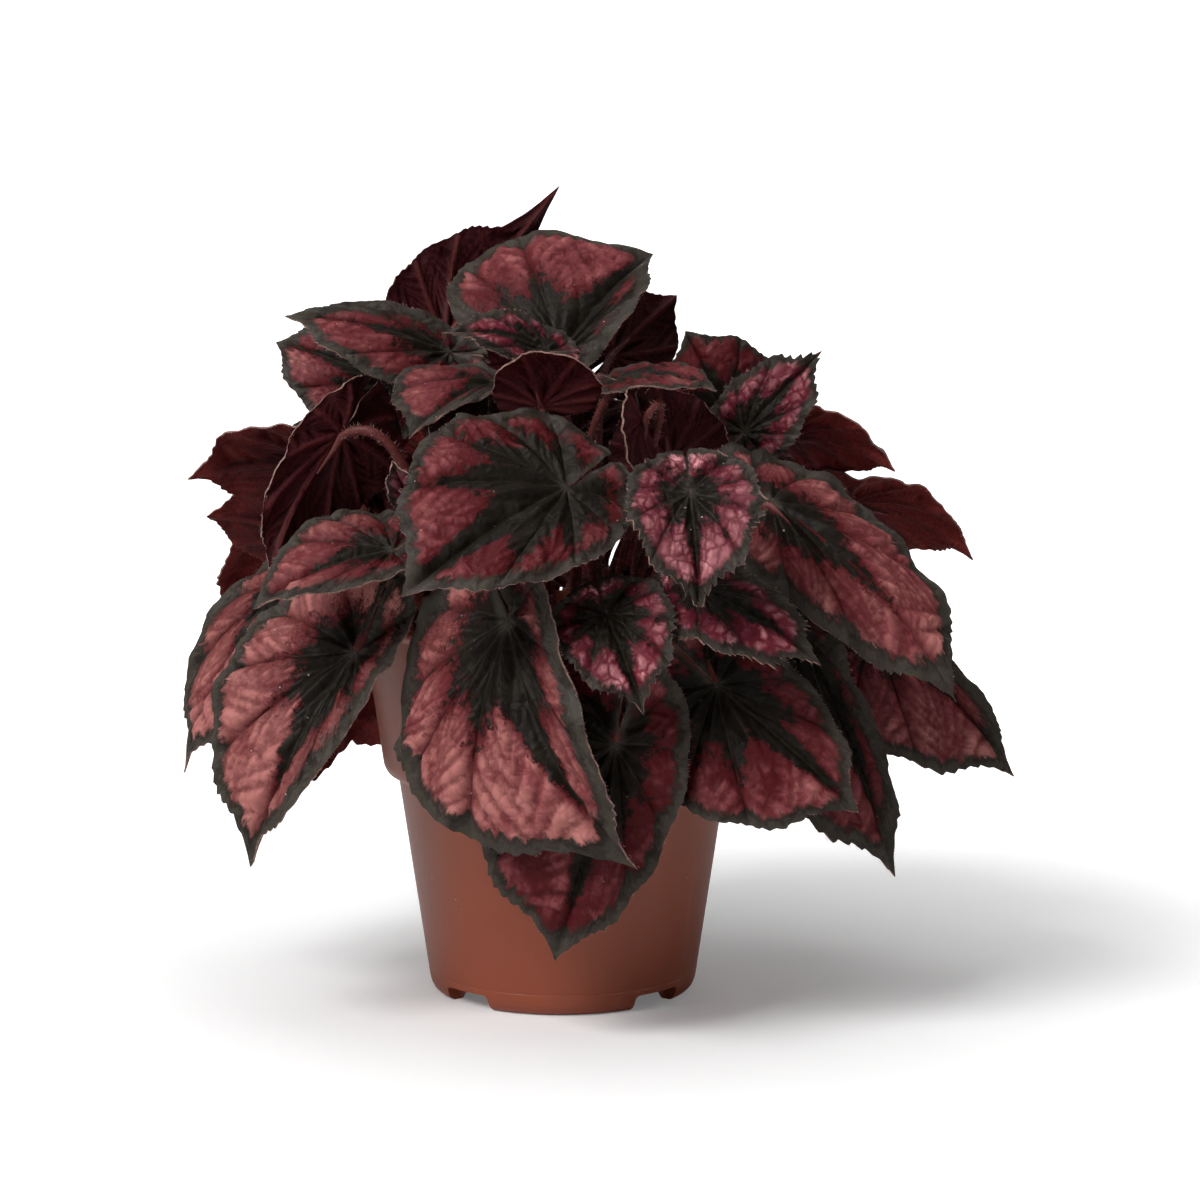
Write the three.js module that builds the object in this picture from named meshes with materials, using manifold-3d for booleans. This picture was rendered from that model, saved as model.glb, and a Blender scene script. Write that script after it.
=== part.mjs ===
// A potted rex begonia in a terracotta-coloured plastic nursery pot.
// Millimetres, +Z up, seen from the front along +Y. The leaves are placed from the pot's own axis,
// and the whole group is then shifted so that its origin is the middle of its footprint.
import * as THREE from "three";
import { mergeVertices } from "three/addons/utils/BufferGeometryUtils.js";
import Module from "manifold-3d";

const wasm = await Module();
wasm.setup();

const DEG = Math.PI / 180;
const ROUND = 2 * Math.PI;

// The nursery pot, an injection moulding of even wall
const RIM_RADIUS = 60;
const POT_HEIGHT = 111;
const BODY_TOP_RADIUS = 48.3;
const BODY_HEIGHT = 63.5;
const BASE_RADIUS = 39;
const COLLAR_FOOT_RADIUS = 53;
const COLLAR_FOOT_HEIGHT = 70;
const LIP_HEIGHT = 3.5;
const LIP_PROUD = 1.2;
const LIP_ROUNDING = 0.8;
const WALL = 1.4;
const FLOOR_HEIGHT = 5.5;
const FLOOR_THICKNESS = 1.6;
const FOOT_WIDTH = 3;
const BASE_ROUNDING = 3;
const POT_SIDES = 36;
const NOTCH_COUNT = 4;
const NOTCH_TURN = 45 * DEG;
const NOTCH_REACH = 12;
const NOTCH_WIDTH = 17;
const NOTCH_HEIGHT = 4.6;
const DRAIN_COUNT = 4;
const DRAIN_RADIUS = 3;
const DRAIN_SIDES = 8;
const DRAIN_RING_RADIUS = 24;

// The compost that fills it
const SOIL_GAP = 0.4;
const SOIL_TOP = 97;
const SOIL_CROWN = 3;
const SOIL_SIDES = 24;

// A blade's outline is a heart, given as reaches from the stalk in shares of the leaf's length.
// The three reaches towards the tip add up to 1.
const FRONT_REACH = 0.62;
const SHOULDER_REACH = 0.26;
const SHOULDER_TURN = 0.655;
const POINT_TURN = 0.07;
const NOTCH_HALF_TURN = 0.09;

// A blade's solid
const BLADE_THICKNESS = 0.8;
const COLUMNS = 20;
const YOUNG_COLUMNS = 16;
const YOUNG_LENGTH = 34;
const COLUMN_CROWDING = 0.4;
const RING_SHARES = [0.55, 1];
const CURL_LENGTH = 0.5;

// Stalks
const STALK_SIDES = 5;
const STALK_STEPS = 6;
const STALK_DEPTH = 9;
const STALK_RADIUS = 0.9;
const STALK_RADIUS_GROWTH = 0.013;
const FOOT_SWELL = 0.15;
const OUTWARD_LEAN = 0.008;
const STALK_RISE = 0.5;
const CLIMB_TURN_IN = 0.75;
const HUB = { share: 0.02, depth: 0.85 };
const KEEL = { share: 0.12, depth: 0.55, radius: 0.6 };
const HOLE_CLEARANCE = 0.45;

// What a leaf has when its own line doesn't say otherwise
const USUAL_LEAF = {
  width: [1, 1], // of each half, left then right, seen from above with the tip ahead
  fold: [8, 8], // degrees that each half stands up from the midrib
  curl: [-22, -22], // degrees that each half bends further over half the leaf's length
  point: 0.12, // reach of the drawn-out tip past the rounded front, as a share of the length
  back: 0.4, // reach of the lobes behind the stalk, as a share of the length
  arch: 0.1, // rise of the midrib over its straight line, as a share of the length
  sway: 0, // sideways bow of the midrib, as a share of the length
  ears: 0.6, // lift of the lobes
  wave: 0.02, // height of the edge's waves, as a share of the length
  waves: 5,
  phase: 0,
  tooth: 0.03, // depth of the edge's teeth, as a share of its reach
  reach: 0.3, // how far from the blade the stalk begins to turn towards it
  climb: 0, // how far the stalk climbs to clear the rim of the pot, where it has to
};

// Each leaf from its hub, where stalk and blade meet, to its tip; its upper side looks along face.
// The root is where its stalk stands in the compost.
const LEAVES = [
  { name: "leaf_front_low", hub: [15, -72, 84], tip: [-1, -66, 24], face: [0, -1, 0.05],
    width: [0.66, 1.15], root: [7, -36], fold: [0, 0], climb: 60 },
  { name: "leaf_front_left", hub: [-14, -66, 117], tip: [20, -88, 55], face: [-0.35, -0.9, 0.25],
    width: [0.5, 1.22], root: [-8, -38], fold: [30, 0], sway: -0.07, ears: 0.2, back: 0.33 },
  { name: "leaf_front_right", hub: [43, -56, 98], tip: [81, -66, 65], face: [0.1, -0.9, 0.3],
    width: [0.68, 1.25], root: [32, -28], climb: 48, arch: 0.05, ears: 0.9, back: 0.4},
  { name: "leaf_right_low", hub: [66, -30, 111], tip: [94, -40, 42], face: [0.6, -0.8, 0.15],
    width: [0.32, 0.95], root: [40, -15], climb: 38, arch: 0.05, back: 0.22},
  { name: "leaf_far_right_low", hub: [90, 0, 107], tip: [131, -10, 65], face: [0.35, -0.85, 0.45],
    width: [0.32, 1.1], root: [44, -3], climb: 46},
  { name: "leaf_right", hub: [58, -46, 148], tip: [108, -62, 95], face: [0.45, -0.75, 0.5],
    width: [0.77, 0.58], root: [26, -17], fold: [-8, -45], ears: 0.7, back: 0.28 },
  { name: "leaf_young_heart", hub: [35, -74, 152], tip: [37, -90, 124], face: [0, -0.9, 0.45],
    width: [1.1, 1.05], root: [14, -20], back: 0.42, fold: [25, 25], tooth: 0.06, reach: 0.45 },
  { name: "leaf_young_upright", hub: [52, -18, 165], tip: [73, -16, 187], face: [-0.15, -0.95, 0.1],
    root: [18, -6], tooth: 0.06, back: 0.35, width: [0.8, 0.8] },
  { name: "leaf_middle", hub: [2, -65, 153], tip: [-40, -92, 127], face: [-0.1, -0.85, 0.4],
    width: [0.8, 1.25], root: [2, -24], back: 0.33 },
  { name: "leaf_young_middle", hub: [13, -70, 119], tip: [22, -84, 96], face: [0, -0.9, 0.3],
    width: [1.15, 1.1], root: [14, -40], fold: [20, 20], tooth: 0.06 },
  { name: "leaf_young_right", hub: [37, -66, 126], tip: [69, -76, 107], face: [0.1, -0.8, 0.6],
    width: [0.6, 0.85], root: [22, -24], tooth: 0.06, back: 0.3, reach: 0.4 },
  { name: "leaf_left_level", hub: [-46, -53, 135], tip: [-83, -60, 120], face: [-0.1, -0.6, 0.75],
    width: [0.6, 1], root: [-20, -28], back: 0.28 },
  { name: "leaf_left_low", hub: [-57, -48, 106], tip: [-86, -56, 48], face: [-0.45, -0.88, 0.25],
    width: [0.38, 1], root: [-32, -27], climb: 36},
  { name: "leaf_far_left_low", hub: [-79, -6, 122], tip: [-109, -12, 67], face: [-0.7, -0.6, 0.35],
    root: [-44, -10], climb: 46, back: 0.15, width: [1, 0.6] },
  { name: "leaf_left_under", hub: [-66, -8, 153], tip: [-107, -9, 151], face: [-0.2, 0.6, 0.7],
    width: [1.1, 1], root: [-33, -4], back: 0.2 },
  { name: "leaf_left_behind", hub: [-77, 18, 130.5], tip: [-106, 17, 138], face: [-0.2, 0.7, 0.6],
    root: [-40, 6], width: [1.05, 1.05] },
  { name: "leaf_left_dark", hub: [-62, -28, 165.5], tip: [-81, -40, 127], face: [-0.5, 0.75, 0.3],
    width: [0.52, 0.95], root: [-27, -15] },
  { name: "leaf_upper_left", hub: [-32, -15, 188], tip: [-78, -15, 198], face: [-0.1, -0.8, 0.6],
    width: [0.75, 0.38], root: [-14, -10], back: 0.25},
  { name: "leaf_upper_left_behind", hub: [-50, 0, 178], tip: [-84, 10, 190], face: [-0.3, -0.75, 0.5],
    root: [-22, 2], width: [1, 0.75] },
  { name: "leaf_top_back", hub: [-35, 20, 190], tip: [-10, 27, 224.5], face: [0, 0.95, 0.2],
    width: [1, 1], root: [-9, 11], point: 0.4 },
  { name: "leaf_top", hub: [0, -10, 188], tip: [26, 26, 214.5], face: [0, -0.8, 0.6],
    width: [1.9, 0.45], root: [-6, 0], back: 0.2 },
  { name: "leaf_top_right_behind", hub: [14, 28, 185], tip: [34, 36, 203], face: [0.3, 0.9, 0.3],
    root: [9, 14], width: [1.15, 1.15] },
  { name: "leaf_upper_right", hub: [48, 6, 168], tip: [36, 4, 193], face: [0, -0.8, 0.6],
    width: [1.4, 1.4], root: [24, 5] },
  { name: "leaf_right_upper", hub: [66, -5, 164], tip: [95, -13, 154], face: [0.3, 0.5, 0.8],
    root: [32, -5], back: 0.15, width: [1.22, 1.15] },
  { name: "leaf_far_right", hub: [85, 16, 143], tip: [122, 14, 126], face: [0.2, 0.5, 0.8],
    root: [40, 6], width: [1.15, 0.85] },
  { name: "leaf_centre", hub: [-5, -45, 174], tip: [-10, -60, 188.5], face: [0, 0.7, 0.5],
    width: [1.85, 1.2], root: [-4, -16], back: 0.24 },
  { name: "leaf_centre_left", hub: [-18, -34, 180], tip: [-40, -61, 166], face: [-0.3, -0.75, 0.55],
    width: [0.34, 1.3], root: [-12, -18], back: 0.2},
  { name: "leaf_young_top", hub: [-4, -31, 189], tip: [-31, -38, 194], face: [-0.1, -0.7, 0.7],
    root: [3, -10], tooth: 0.06, width: [0.65, 0.7] },
  { name: "leaf_centre_right", hub: [16, -35, 181], tip: [43, -42, 178], face: [0, -0.25, 0.97],
    root: [9, -12], back: 0.25 },
  { name: "leaf_centre_dark", hub: [22, -46, 170], tip: [26, -52, 152], face: [-0.6, 0.4, 0.4],
    root: [10, -18], width: [1.3, 1], back: 0.45 },
  { name: "leaf_centre_under", hub: [31, -24, 157], tip: [27, -18, 180], face: [0, 0.9, 0.3],
    width: [1.3, 1.3], root: [15, -9], back: 0.5 },
  { name: "leaf_unfurling", hub: [-41, -58, 150], tip: [-45, -64, 160], face: [0, -1, -0.4],
    root: [-14, -29], tooth: 0.06, fold: [35, 35], reach: 0.45, width: [0.8, 0.8] },
  { name: "leaf_back_right_upper", hub: [56, 34, 160], tip: [86, 46, 142], face: [0.5, 0.5, 0.7],
    root: [24, 14], back: 0.3 },
  { name: "leaf_inner_left", hub: [-28, -32, 174.5], tip: [-30.5, -43, 158.5], face: [-0.07, -1, 0.02],
    width: [0.8, 0.9], root: [-15.2, -12.8] },
  { name: "leaf_side_right", hub: [64.5, -6.5, 139], tip: [87, -11, 110.5], face: [0.92, -0.32, 0.25],
    width: [0.8, 1], root: [13.6, 2.9], back: 0.33 },
  { name: "leaf_side_left", hub: [-66, 12.5, 156.5], tip: [-86, 34, 155], face: [-0.83, 0.56, -0.03],
    width: [1.2, 0.8], root: [-22.8, 8.7] },
  { name: "leaf_back_high", hub: [-30, 48.5, 178], tip: [-14, 84, 145], face: [-0.09, 0.66, 0.75],
    width: [0.78, 1.13], root: [-14, 8.8], back: 0.28 },
  { name: "leaf_back_high_right", hub: [41, 45.5, 172], tip: [77, 59, 154], face: [0.03, 0.76, 0.64],
    width: [1.23, 0.89], root: [17, 23] },
];

// The side away from the viewer repeats leaves of the near side, turned about the pot's axis.
const TURNED_LEAVES = [
  { name: "leaf_back_low", from: "leaf_front_low", turn: 180 },
  { name: "leaf_back_left", from: "leaf_front_left", turn: 180 },
  { name: "leaf_back_right", from: "leaf_front_right", turn: 184 },
  { name: "leaf_back_right_low", from: "leaf_right_low", turn: 182 },
  { name: "leaf_back_left_low", from: "leaf_left_low", turn: 178 },
  { name: "leaf_back_middle", from: "leaf_middle", turn: 182 },
  { name: "leaf_back_young_middle", from: "leaf_young_middle", turn: 180 },
  { name: "leaf_back_young_right", from: "leaf_young_right", turn: 180 },
  { name: "leaf_back_left_level", from: "leaf_left_level", turn: 176 },
  { name: "leaf_back_upper", from: "leaf_right", turn: 180 },
  { name: "leaf_back_young_heart", from: "leaf_young_heart", turn: 186 },
];

const vec = (xyz) => new THREE.Vector3(...xyz);

// Every measure of one leaf, with its own axes: along the midrib, to its left, and off its upper face
function grown(entry) {
  const leaf = { ...USUAL_LEAF, ...entry };
  leaf.hub = vec(leaf.hub);
  const toTip = vec(leaf.tip).sub(leaf.hub);
  leaf.length = toTip.length();
  leaf.along = toTip.normalize();
  const face = vec(leaf.face);
  leaf.face = face.addScaledVector(leaf.along, -face.dot(leaf.along)).normalize();
  leaf.left = leaf.face.clone().cross(leaf.along);
  leaf.stalkRadius = STALK_RADIUS + STALK_RADIUS_GROWTH * leaf.length;
  leaf.columns = leaf.length < YOUNG_LENGTH ? YOUNG_COLUMNS : COLUMNS;
  return leaf;
}

// Distance from the stalk to the edge at a turn from the midrib, as a share of the length
function outline(leaf, turn) {
  const round = (FRONT_REACH + leaf.back) / 2;
  const heart = round + (FRONT_REACH - round) * Math.cos(turn);
  const shoulder = SHOULDER_REACH * Math.exp(-((turn / SHOULDER_TURN) ** 2));
  const point = leaf.point * Math.exp(-Math.abs(turn) / POINT_TURN);
  return heart + shoulder + point;
}

// The midrib's bow for a rise of 1, with its slope: none at the stalk or the tip, straight on behind
function bow(ahead) {
  const inFront = Math.max(ahead, 0);
  return { height: 4 * ahead * (1 - inFront), slope: 4 * (1 - 2 * inFront) };
}

// How far a half's section has come out and up, a given way across it: an arc from its fold
function section(leaf, side, across) {
  const start = leaf.fold[side] * DEG;
  const bend = (leaf.curl[side] * DEG) / (CURL_LENGTH * leaf.length);
  const end = start + bend * across;
  return {
    out: (Math.sin(end) - Math.sin(start)) / bend,
    up: (Math.cos(start) - Math.cos(end)) / bend,
  };
}

// A point of the blade's middle surface, at a turn from the midrib and a share of the way to the edge
function bladePoint(leaf, turn, share, toothed = 0) {
  const reach = outline(leaf, turn) * share * (1 + toothed);
  const ahead = reach * Math.cos(turn);
  const aside = reach * Math.sin(turn) * leaf.length;
  const side = aside >= 0 ? 0 : 1;
  const { out, up } = section(leaf, side, Math.abs(aside) * leaf.width[side]);
  const behind = Math.min(ahead, 0);
  const midrib = bow(ahead);
  const lift = leaf.arch * midrib.height + leaf.ears * behind * behind;
  const slope = leaf.arch * midrib.slope + 2 * leaf.ears * behind;
  const ripple = leaf.wave * share * share * Math.sin(leaf.waves * turn + leaf.phase);
  const upward = leaf.face.clone().addScaledVector(leaf.along, -slope).normalize();
  return leaf.hub
    .clone()
    .addScaledVector(leaf.along, ahead * leaf.length)
    .addScaledVector(leaf.face, lift * leaf.length)
    .addScaledVector(leaf.left, leaf.sway * midrib.height * leaf.length + (side ? -out : out))
    .addScaledVector(upward, up + ripple * leaf.length);
}

// The turns of the edge's columns, closer together near the tip
function columnTurns(columns) {
  const turns = [];
  for (let column = 0; column <= columns; column++) {
    const t = (2 * column) / columns - 1;
    const crowded = (1 - COLUMN_CROWDING) * t + COLUMN_CROWDING * t * t * t;
    turns.push((Math.PI - NOTCH_HALF_TURN) * crowded);
  }
  return turns;
}

// A solid from a geometry whose corners are merged
function solidOf(geometry) {
  const bare = geometry.clone();
  bare.deleteAttribute("normal");
  bare.deleteAttribute("uv");
  const merged = mergeVertices(bare, 1e-4);
  return new wasm.Manifold(
    new wasm.Mesh({
      numProp: 3,
      vertProperties: new Float32Array(merged.getAttribute("position").array),
      triVerts: new Uint32Array(merged.getIndex().array),
    }),
  );
}

function geometryOf(solid) {
  const mesh = solid.getMesh();
  const geometry = new THREE.BufferGeometry();
  geometry.setAttribute("position", new THREE.BufferAttribute(mesh.vertProperties, 3));
  geometry.setIndex(new THREE.BufferAttribute(mesh.triVerts, 1));
  const faceted = geometry.toNonIndexed();
  faceted.computeVertexNormals();
  return faceted;
}

// The blade: two skins split into triangles alike, and a wall round their edge
function bladeGeometry(leaf) {
  const columns = leaf.columns;
  const turns = columnTurns(columns);
  const middle = [leaf.hub.clone()];
  RING_SHARES.forEach((share) =>
    turns.forEach((turn, column) => {
      const smooth = share < 1 || column === 0 || column === columns;
      const sign = column % 2 ? -1 : 1;
      middle.push(bladePoint(leaf, turn, share, smooth ? 0 : leaf.tooth * sign));
    }),
  );
  const at = (ring, column) => 1 + ring * (columns + 1) + column;
  const skin = [];
  for (let column = 0; column < columns; column++) {
    skin.push([0, at(0, column), at(0, column + 1)]);
    for (let ring = 0; ring < RING_SHARES.length - 1; ring++) {
      const [a, b] = [at(ring, column), at(ring, column + 1)];
      const [c, d] = [at(ring + 1, column), at(ring + 1, column + 1)];
      if (column < columns / 2) skin.push([a, c, d], [a, d, b]);
      else skin.push([a, c, b], [b, c, d]);
    }
  }
  const normals = middle.map(() => new THREE.Vector3());
  for (const [a, b, c] of skin) {
    const toB = middle[b].clone().sub(middle[a]);
    const toC = middle[c].clone().sub(middle[a]);
    const normal = toB.cross(toC);
    for (const corner of [a, b, c]) normals[corner].add(normal);
  }
  const offset = (way) =>
    middle.map((p, i) => p.clone().addScaledVector(normals[i].normalize(), (way * BLADE_THICKNESS) / 2));
  const last = RING_SHARES.length - 1;
  const edge = [0];
  for (let ring = 0; ring < last; ring++) edge.push(at(ring, 0));
  for (let column = 0; column <= columns; column++) edge.push(at(last, column));
  for (let ring = last - 1; ring >= 0; ring--) edge.push(at(ring, columns));
  const count = middle.length;
  const index = [];
  for (const [a, b, c] of skin) index.push(a, b, c, a + count, c + count, b + count);
  edge.forEach((a, i) => {
    const b = edge[(i + 1) % edge.length];
    index.push(a, a + count, b, b, a + count, b + count);
  });
  const geometry = new THREE.BufferGeometry().setFromPoints([...offset(1), ...offset(-1)]);
  geometry.setIndex(index);
  return geometry;
}

// The stalk's route, up out of the compost and round to the hub, then on a little as the midrib's keel
function stalkRoute(leaf) {
  const [x, y] = leaf.root;
  const root = new THREE.Vector3(x, y, SOIL_TOP - STALK_DEPTH);
  const lean = new THREE.Vector3(x * OUTWARD_LEAN, y * OUTWARD_LEAN, 1).normalize();
  const steep = leaf.climb ? new THREE.Vector3(0, 0, -0.7) : leaf.face.clone().multiplyScalar(1.3);
  const arrive = leaf.along.clone().add(steep).normalize();
  const under = ({ share, depth }) =>
    bladePoint(leaf, 0, share).addScaledVector(leaf.face, -depth * leaf.stalkRadius);
  const hub = under(HUB);
  const span = root.distanceTo(hub);
  const rise = Math.max(span * STALK_RISE, leaf.climb);
  const turnIn = Math.max(span * leaf.reach, leaf.climb * CLIMB_TURN_IN);
  const curve = new THREE.CubicBezierCurve3(
    root,
    root.clone().addScaledVector(lean, rise),
    hub.clone().addScaledVector(arrive, -turnIn),
    hub,
  );
  const last = STALK_STEPS - 1;
  const points = curve.getPoints(last);
  const radii = points.map((_, i) => leaf.stalkRadius * (1 + FOOT_SWELL * (1 - i / last)));
  points.push(under(KEEL));
  radii.push(leaf.stalkRadius * KEEL.radius);
  return { points, radii };
}

// A round bar through a list of points, from a cylinder whose rings are moved onto them
function barGeometry({ points, radii }, sides) {
  const steps = points.length - 1;
  const bar = new THREE.CylinderGeometry(1, 1, steps, sides, steps);
  bar.rotateX(Math.PI / 2);
  const forward = points.map((p, i) =>
    points[Math.min(i + 1, steps)].clone().sub(points[Math.max(i - 1, 0)]).normalize(),
  );
  const across = [new THREE.Vector3(1, 0, 0)];
  forward.forEach((ahead, i) => {
    const before = across[Math.max(i - 1, 0)];
    across[i] = before.clone().addScaledVector(ahead, -before.dot(ahead)).normalize();
  });
  const position = bar.getAttribute("position");
  for (let i = 0; i < position.count; i++) {
    const step = Math.round(position.getZ(i) + steps / 2);
    const second = forward[step].clone().cross(across[step]);
    const moved = points[step]
      .clone()
      .addScaledVector(across[step], position.getX(i) * radii[step])
      .addScaledVector(second, position.getY(i) * radii[step]);
    position.setXYZ(i, moved.x, moved.y, moved.z);
  }
  return bar;
}

function leafMesh(leaf) {
  const blade = solidOf(bladeGeometry(leaf));
  const stalk = solidOf(barGeometry(stalkRoute(leaf), STALK_SIDES));
  const flesh = new THREE.MeshStandardMaterial({ color: 0x5a2226, roughness: 0.55, metalness: 0 });
  const mesh = new THREE.Mesh(geometryOf(blade.add(stalk)), flesh);
  mesh.name = leaf.name;
  return mesh;
}

// A closed section of radii and heights, turned about the pot's axis
function turnedSolid(outline, sides) {
  const lathe = new THREE.LatheGeometry(outline.map(([r, z]) => new THREE.Vector2(r, z)), sides);
  lathe.rotateX(Math.PI / 2);
  return solidOf(lathe);
}

// The collar's outer radius at a height, under its lip
const COLLAR_TOP_RADIUS = RIM_RADIUS - LIP_PROUD;
function collarRadius(height) {
  const share = (height - COLLAR_FOOT_HEIGHT) / (POT_HEIGHT - COLLAR_FOOT_HEIGHT);
  return COLLAR_FOOT_RADIUS + (COLLAR_TOP_RADIUS - COLLAR_FOOT_RADIUS) * share;
}

// The pot: a lathe of its section, with the drain notches and holes cut away
function potMesh() {
  const lipFoot = POT_HEIGHT - LIP_HEIGHT;
  const footOuter = BASE_RADIUS - BASE_ROUNDING + 1;
  const footInner = footOuter - FOOT_WIDTH;
  const step = COLLAR_FOOT_HEIGHT - BODY_HEIGHT;
  let pot = turnedSolid(
    [
      [0, FLOOR_HEIGHT],
      [footInner - 1, FLOOR_HEIGHT],
      [footInner, 0],
      [footOuter, 0],
      [BASE_RADIUS - 0.2 * BASE_ROUNDING, BASE_ROUNDING / 3],
      [BASE_RADIUS + 0.1 * BASE_ROUNDING, BASE_ROUNDING],
      [BODY_TOP_RADIUS, BODY_HEIGHT],
      [COLLAR_FOOT_RADIUS - WALL, BODY_HEIGHT + 0.25 * step],
      [COLLAR_FOOT_RADIUS - 0.3 * WALL, BODY_HEIGHT + 0.55 * step],
      [COLLAR_FOOT_RADIUS, COLLAR_FOOT_HEIGHT],
      [collarRadius(lipFoot), lipFoot],
      [RIM_RADIUS, lipFoot + LIP_ROUNDING],
      [RIM_RADIUS, POT_HEIGHT - LIP_ROUNDING],
      [RIM_RADIUS - LIP_ROUNDING, POT_HEIGHT],
      [COLLAR_TOP_RADIUS - WALL, POT_HEIGHT],
      [COLLAR_FOOT_RADIUS - WALL, COLLAR_FOOT_HEIGHT],
      [BODY_TOP_RADIUS - WALL, BODY_HEIGHT + WALL],
      [BASE_RADIUS - WALL, FLOOR_HEIGHT + FLOOR_THICKNESS],
      [0, FLOOR_HEIGHT + FLOOR_THICKNESS],
    ],
    POT_SIDES,
  );
  for (let i = 0; i < NOTCH_COUNT; i++) {
    const notch = new THREE.BoxGeometry(NOTCH_REACH, NOTCH_WIDTH, 2 * NOTCH_HEIGHT);
    notch.translate(BASE_RADIUS, 0, 0);
    notch.rotateZ(NOTCH_TURN + (i * ROUND) / NOTCH_COUNT);
    pot = pot.subtract(solidOf(notch));
  }
  for (let i = 0; i < DRAIN_COUNT; i++) {
    const drain = new THREE.CylinderGeometry(
      DRAIN_RADIUS,
      DRAIN_RADIUS,
      4 * FLOOR_THICKNESS,
      DRAIN_SIDES,
    );
    drain.rotateX(Math.PI / 2);
    drain.translate(DRAIN_RING_RADIUS, 0, FLOOR_HEIGHT);
    drain.rotateZ((i * ROUND) / DRAIN_COUNT);
    pot = pot.subtract(solidOf(drain));
  }
  const plastic = new THREE.MeshStandardMaterial({ color: 0x9a4a30, roughness: 0.45, metalness: 0 });
  const mesh = new THREE.Mesh(geometryOf(pot), plastic);
  mesh.name = "pot";
  return mesh;
}

// The compost, with a plain hole for each stalk
function soilMesh(leaves) {
  const inset = WALL + SOIL_GAP;
  const floor = FLOOR_HEIGHT + FLOOR_THICKNESS + SOIL_GAP;
  const topRadius = collarRadius(SOIL_TOP) - inset;
  let soil = turnedSolid(
    [
      [0, floor],
      [BASE_RADIUS - inset, floor],
      [BODY_TOP_RADIUS - inset, BODY_HEIGHT + WALL],
      [COLLAR_FOOT_RADIUS - inset, COLLAR_FOOT_HEIGHT],
      [topRadius, SOIL_TOP],
      [0.8 * topRadius, SOIL_TOP + 0.6 * SOIL_CROWN],
      [0, SOIL_TOP + SOIL_CROWN],
    ],
    SOIL_SIDES,
  );
  for (const leaf of leaves) {
    const { points, radii } = stalkRoute(leaf);
    const buried = points.findIndex((p) => p.z > SOIL_TOP + SOIL_CROWN) + 1;
    const down = points[0].clone().sub(points[1]).normalize();
    points[0].addScaledVector(down, 2 * HOLE_CLEARANCE);
    const hole = {
      points: points.slice(0, buried),
      radii: radii.slice(0, buried).map((radius) => radius + HOLE_CLEARANCE),
    };
    soil = soil.subtract(solidOf(barGeometry(hole, STALK_SIDES)));
  }
  const compost = new THREE.MeshStandardMaterial({ color: 0x2a1d14, roughness: 0.95, metalness: 0 });
  const mesh = new THREE.Mesh(geometryOf(soil), compost);
  mesh.name = "soil";
  return mesh;
}

// A near-side leaf's line, turned about the pot's axis and given another name
function turnedLeaf({ name, from, turn }) {
  const leaf = LEAVES.find((each) => each.name === from);
  const up = new THREE.Vector3(0, 0, 1);
  const round = (xyz) => vec(xyz).applyAxisAngle(up, turn * DEG).toArray();
  return {
    ...leaf,
    name,
    hub: round(leaf.hub),
    tip: round(leaf.tip),
    face: round(leaf.face),
    root: round([...leaf.root, 0]).slice(0, 2),
  };
}

const leaves = [...LEAVES, ...TURNED_LEAVES.map(turnedLeaf)].map(grown);
const plant = new THREE.Group();
plant.add(potMesh(), soilMesh(leaves), ...leaves.map(leafMesh));
const reach = new THREE.Box3().setFromObject(plant);
const middle = reach.getCenter(new THREE.Vector3());
plant.position.set(-middle.x, -middle.y, -reach.min.z);

export default plant;
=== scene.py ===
"""The looks of a potted rex begonia: its pot, compost, leaves and stage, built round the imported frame."""

import math
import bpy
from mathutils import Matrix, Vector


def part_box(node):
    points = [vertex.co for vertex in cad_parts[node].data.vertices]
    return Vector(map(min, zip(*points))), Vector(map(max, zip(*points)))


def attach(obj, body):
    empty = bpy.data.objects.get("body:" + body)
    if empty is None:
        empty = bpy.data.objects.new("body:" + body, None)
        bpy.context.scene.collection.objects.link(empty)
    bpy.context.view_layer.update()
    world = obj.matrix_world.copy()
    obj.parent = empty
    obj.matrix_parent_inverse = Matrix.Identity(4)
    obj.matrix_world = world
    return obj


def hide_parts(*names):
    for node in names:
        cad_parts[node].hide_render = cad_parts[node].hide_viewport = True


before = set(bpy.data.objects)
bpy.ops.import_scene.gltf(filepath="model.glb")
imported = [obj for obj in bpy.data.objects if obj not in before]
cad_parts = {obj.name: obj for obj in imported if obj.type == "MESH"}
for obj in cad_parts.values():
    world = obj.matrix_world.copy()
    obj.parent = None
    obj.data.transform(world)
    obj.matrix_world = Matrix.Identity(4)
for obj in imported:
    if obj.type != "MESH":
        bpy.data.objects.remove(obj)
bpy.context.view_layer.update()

from types import SimpleNamespace

import bmesh
import bpy
import numpy as np
from bpy.props import FloatProperty, IntProperty, PointerProperty, StringProperty
from mathutils import Vector

bl_info = {
    "name": "Potted Rex Begonia",
    "version": (1, 0, 0),
    "blender": (4, 5, 0),
    "location": "View3D > Sidebar > Begonia",
    "description": "Builds a potted rex begonia round its packed frame",
    "category": "Add Mesh",
}

MM = 0.001
POT_LOW, POT_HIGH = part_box("pot")
SOIL_LOW, SOIL_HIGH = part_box("soil")

# The pot's axis, from which the leaves are placed
AXIS = np.array([(POT_LOW.x + POT_HIGH.x) / 2, (POT_LOW.y + POT_HIGH.y) / 2, 0.0])

# What a leaf has when its own line doesn't say otherwise, in millimetres and degrees:
# width, fold and curl are of each half, left then right, seen from above with the tip ahead.
# The last line is of colour: how pale the red zone is, and the size of the star and of the margin. That
# paleness is partly the leaf's own colour and partly painted light and shade: a leaf in the light is set
# paler, one in shade darker
USUAL_LEAF = dict(
    width=(1, 1), fold=(8, 8), curl=(-22, -22), back=0.4, arch=0.1, sway=0, ears=0.6,
    wave=0.02, waves=5, phase=0, tooth=0.03, point=0.12, reach=0.3, climb=0,
    blush=0.5, star=1, margin=1,
)

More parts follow.
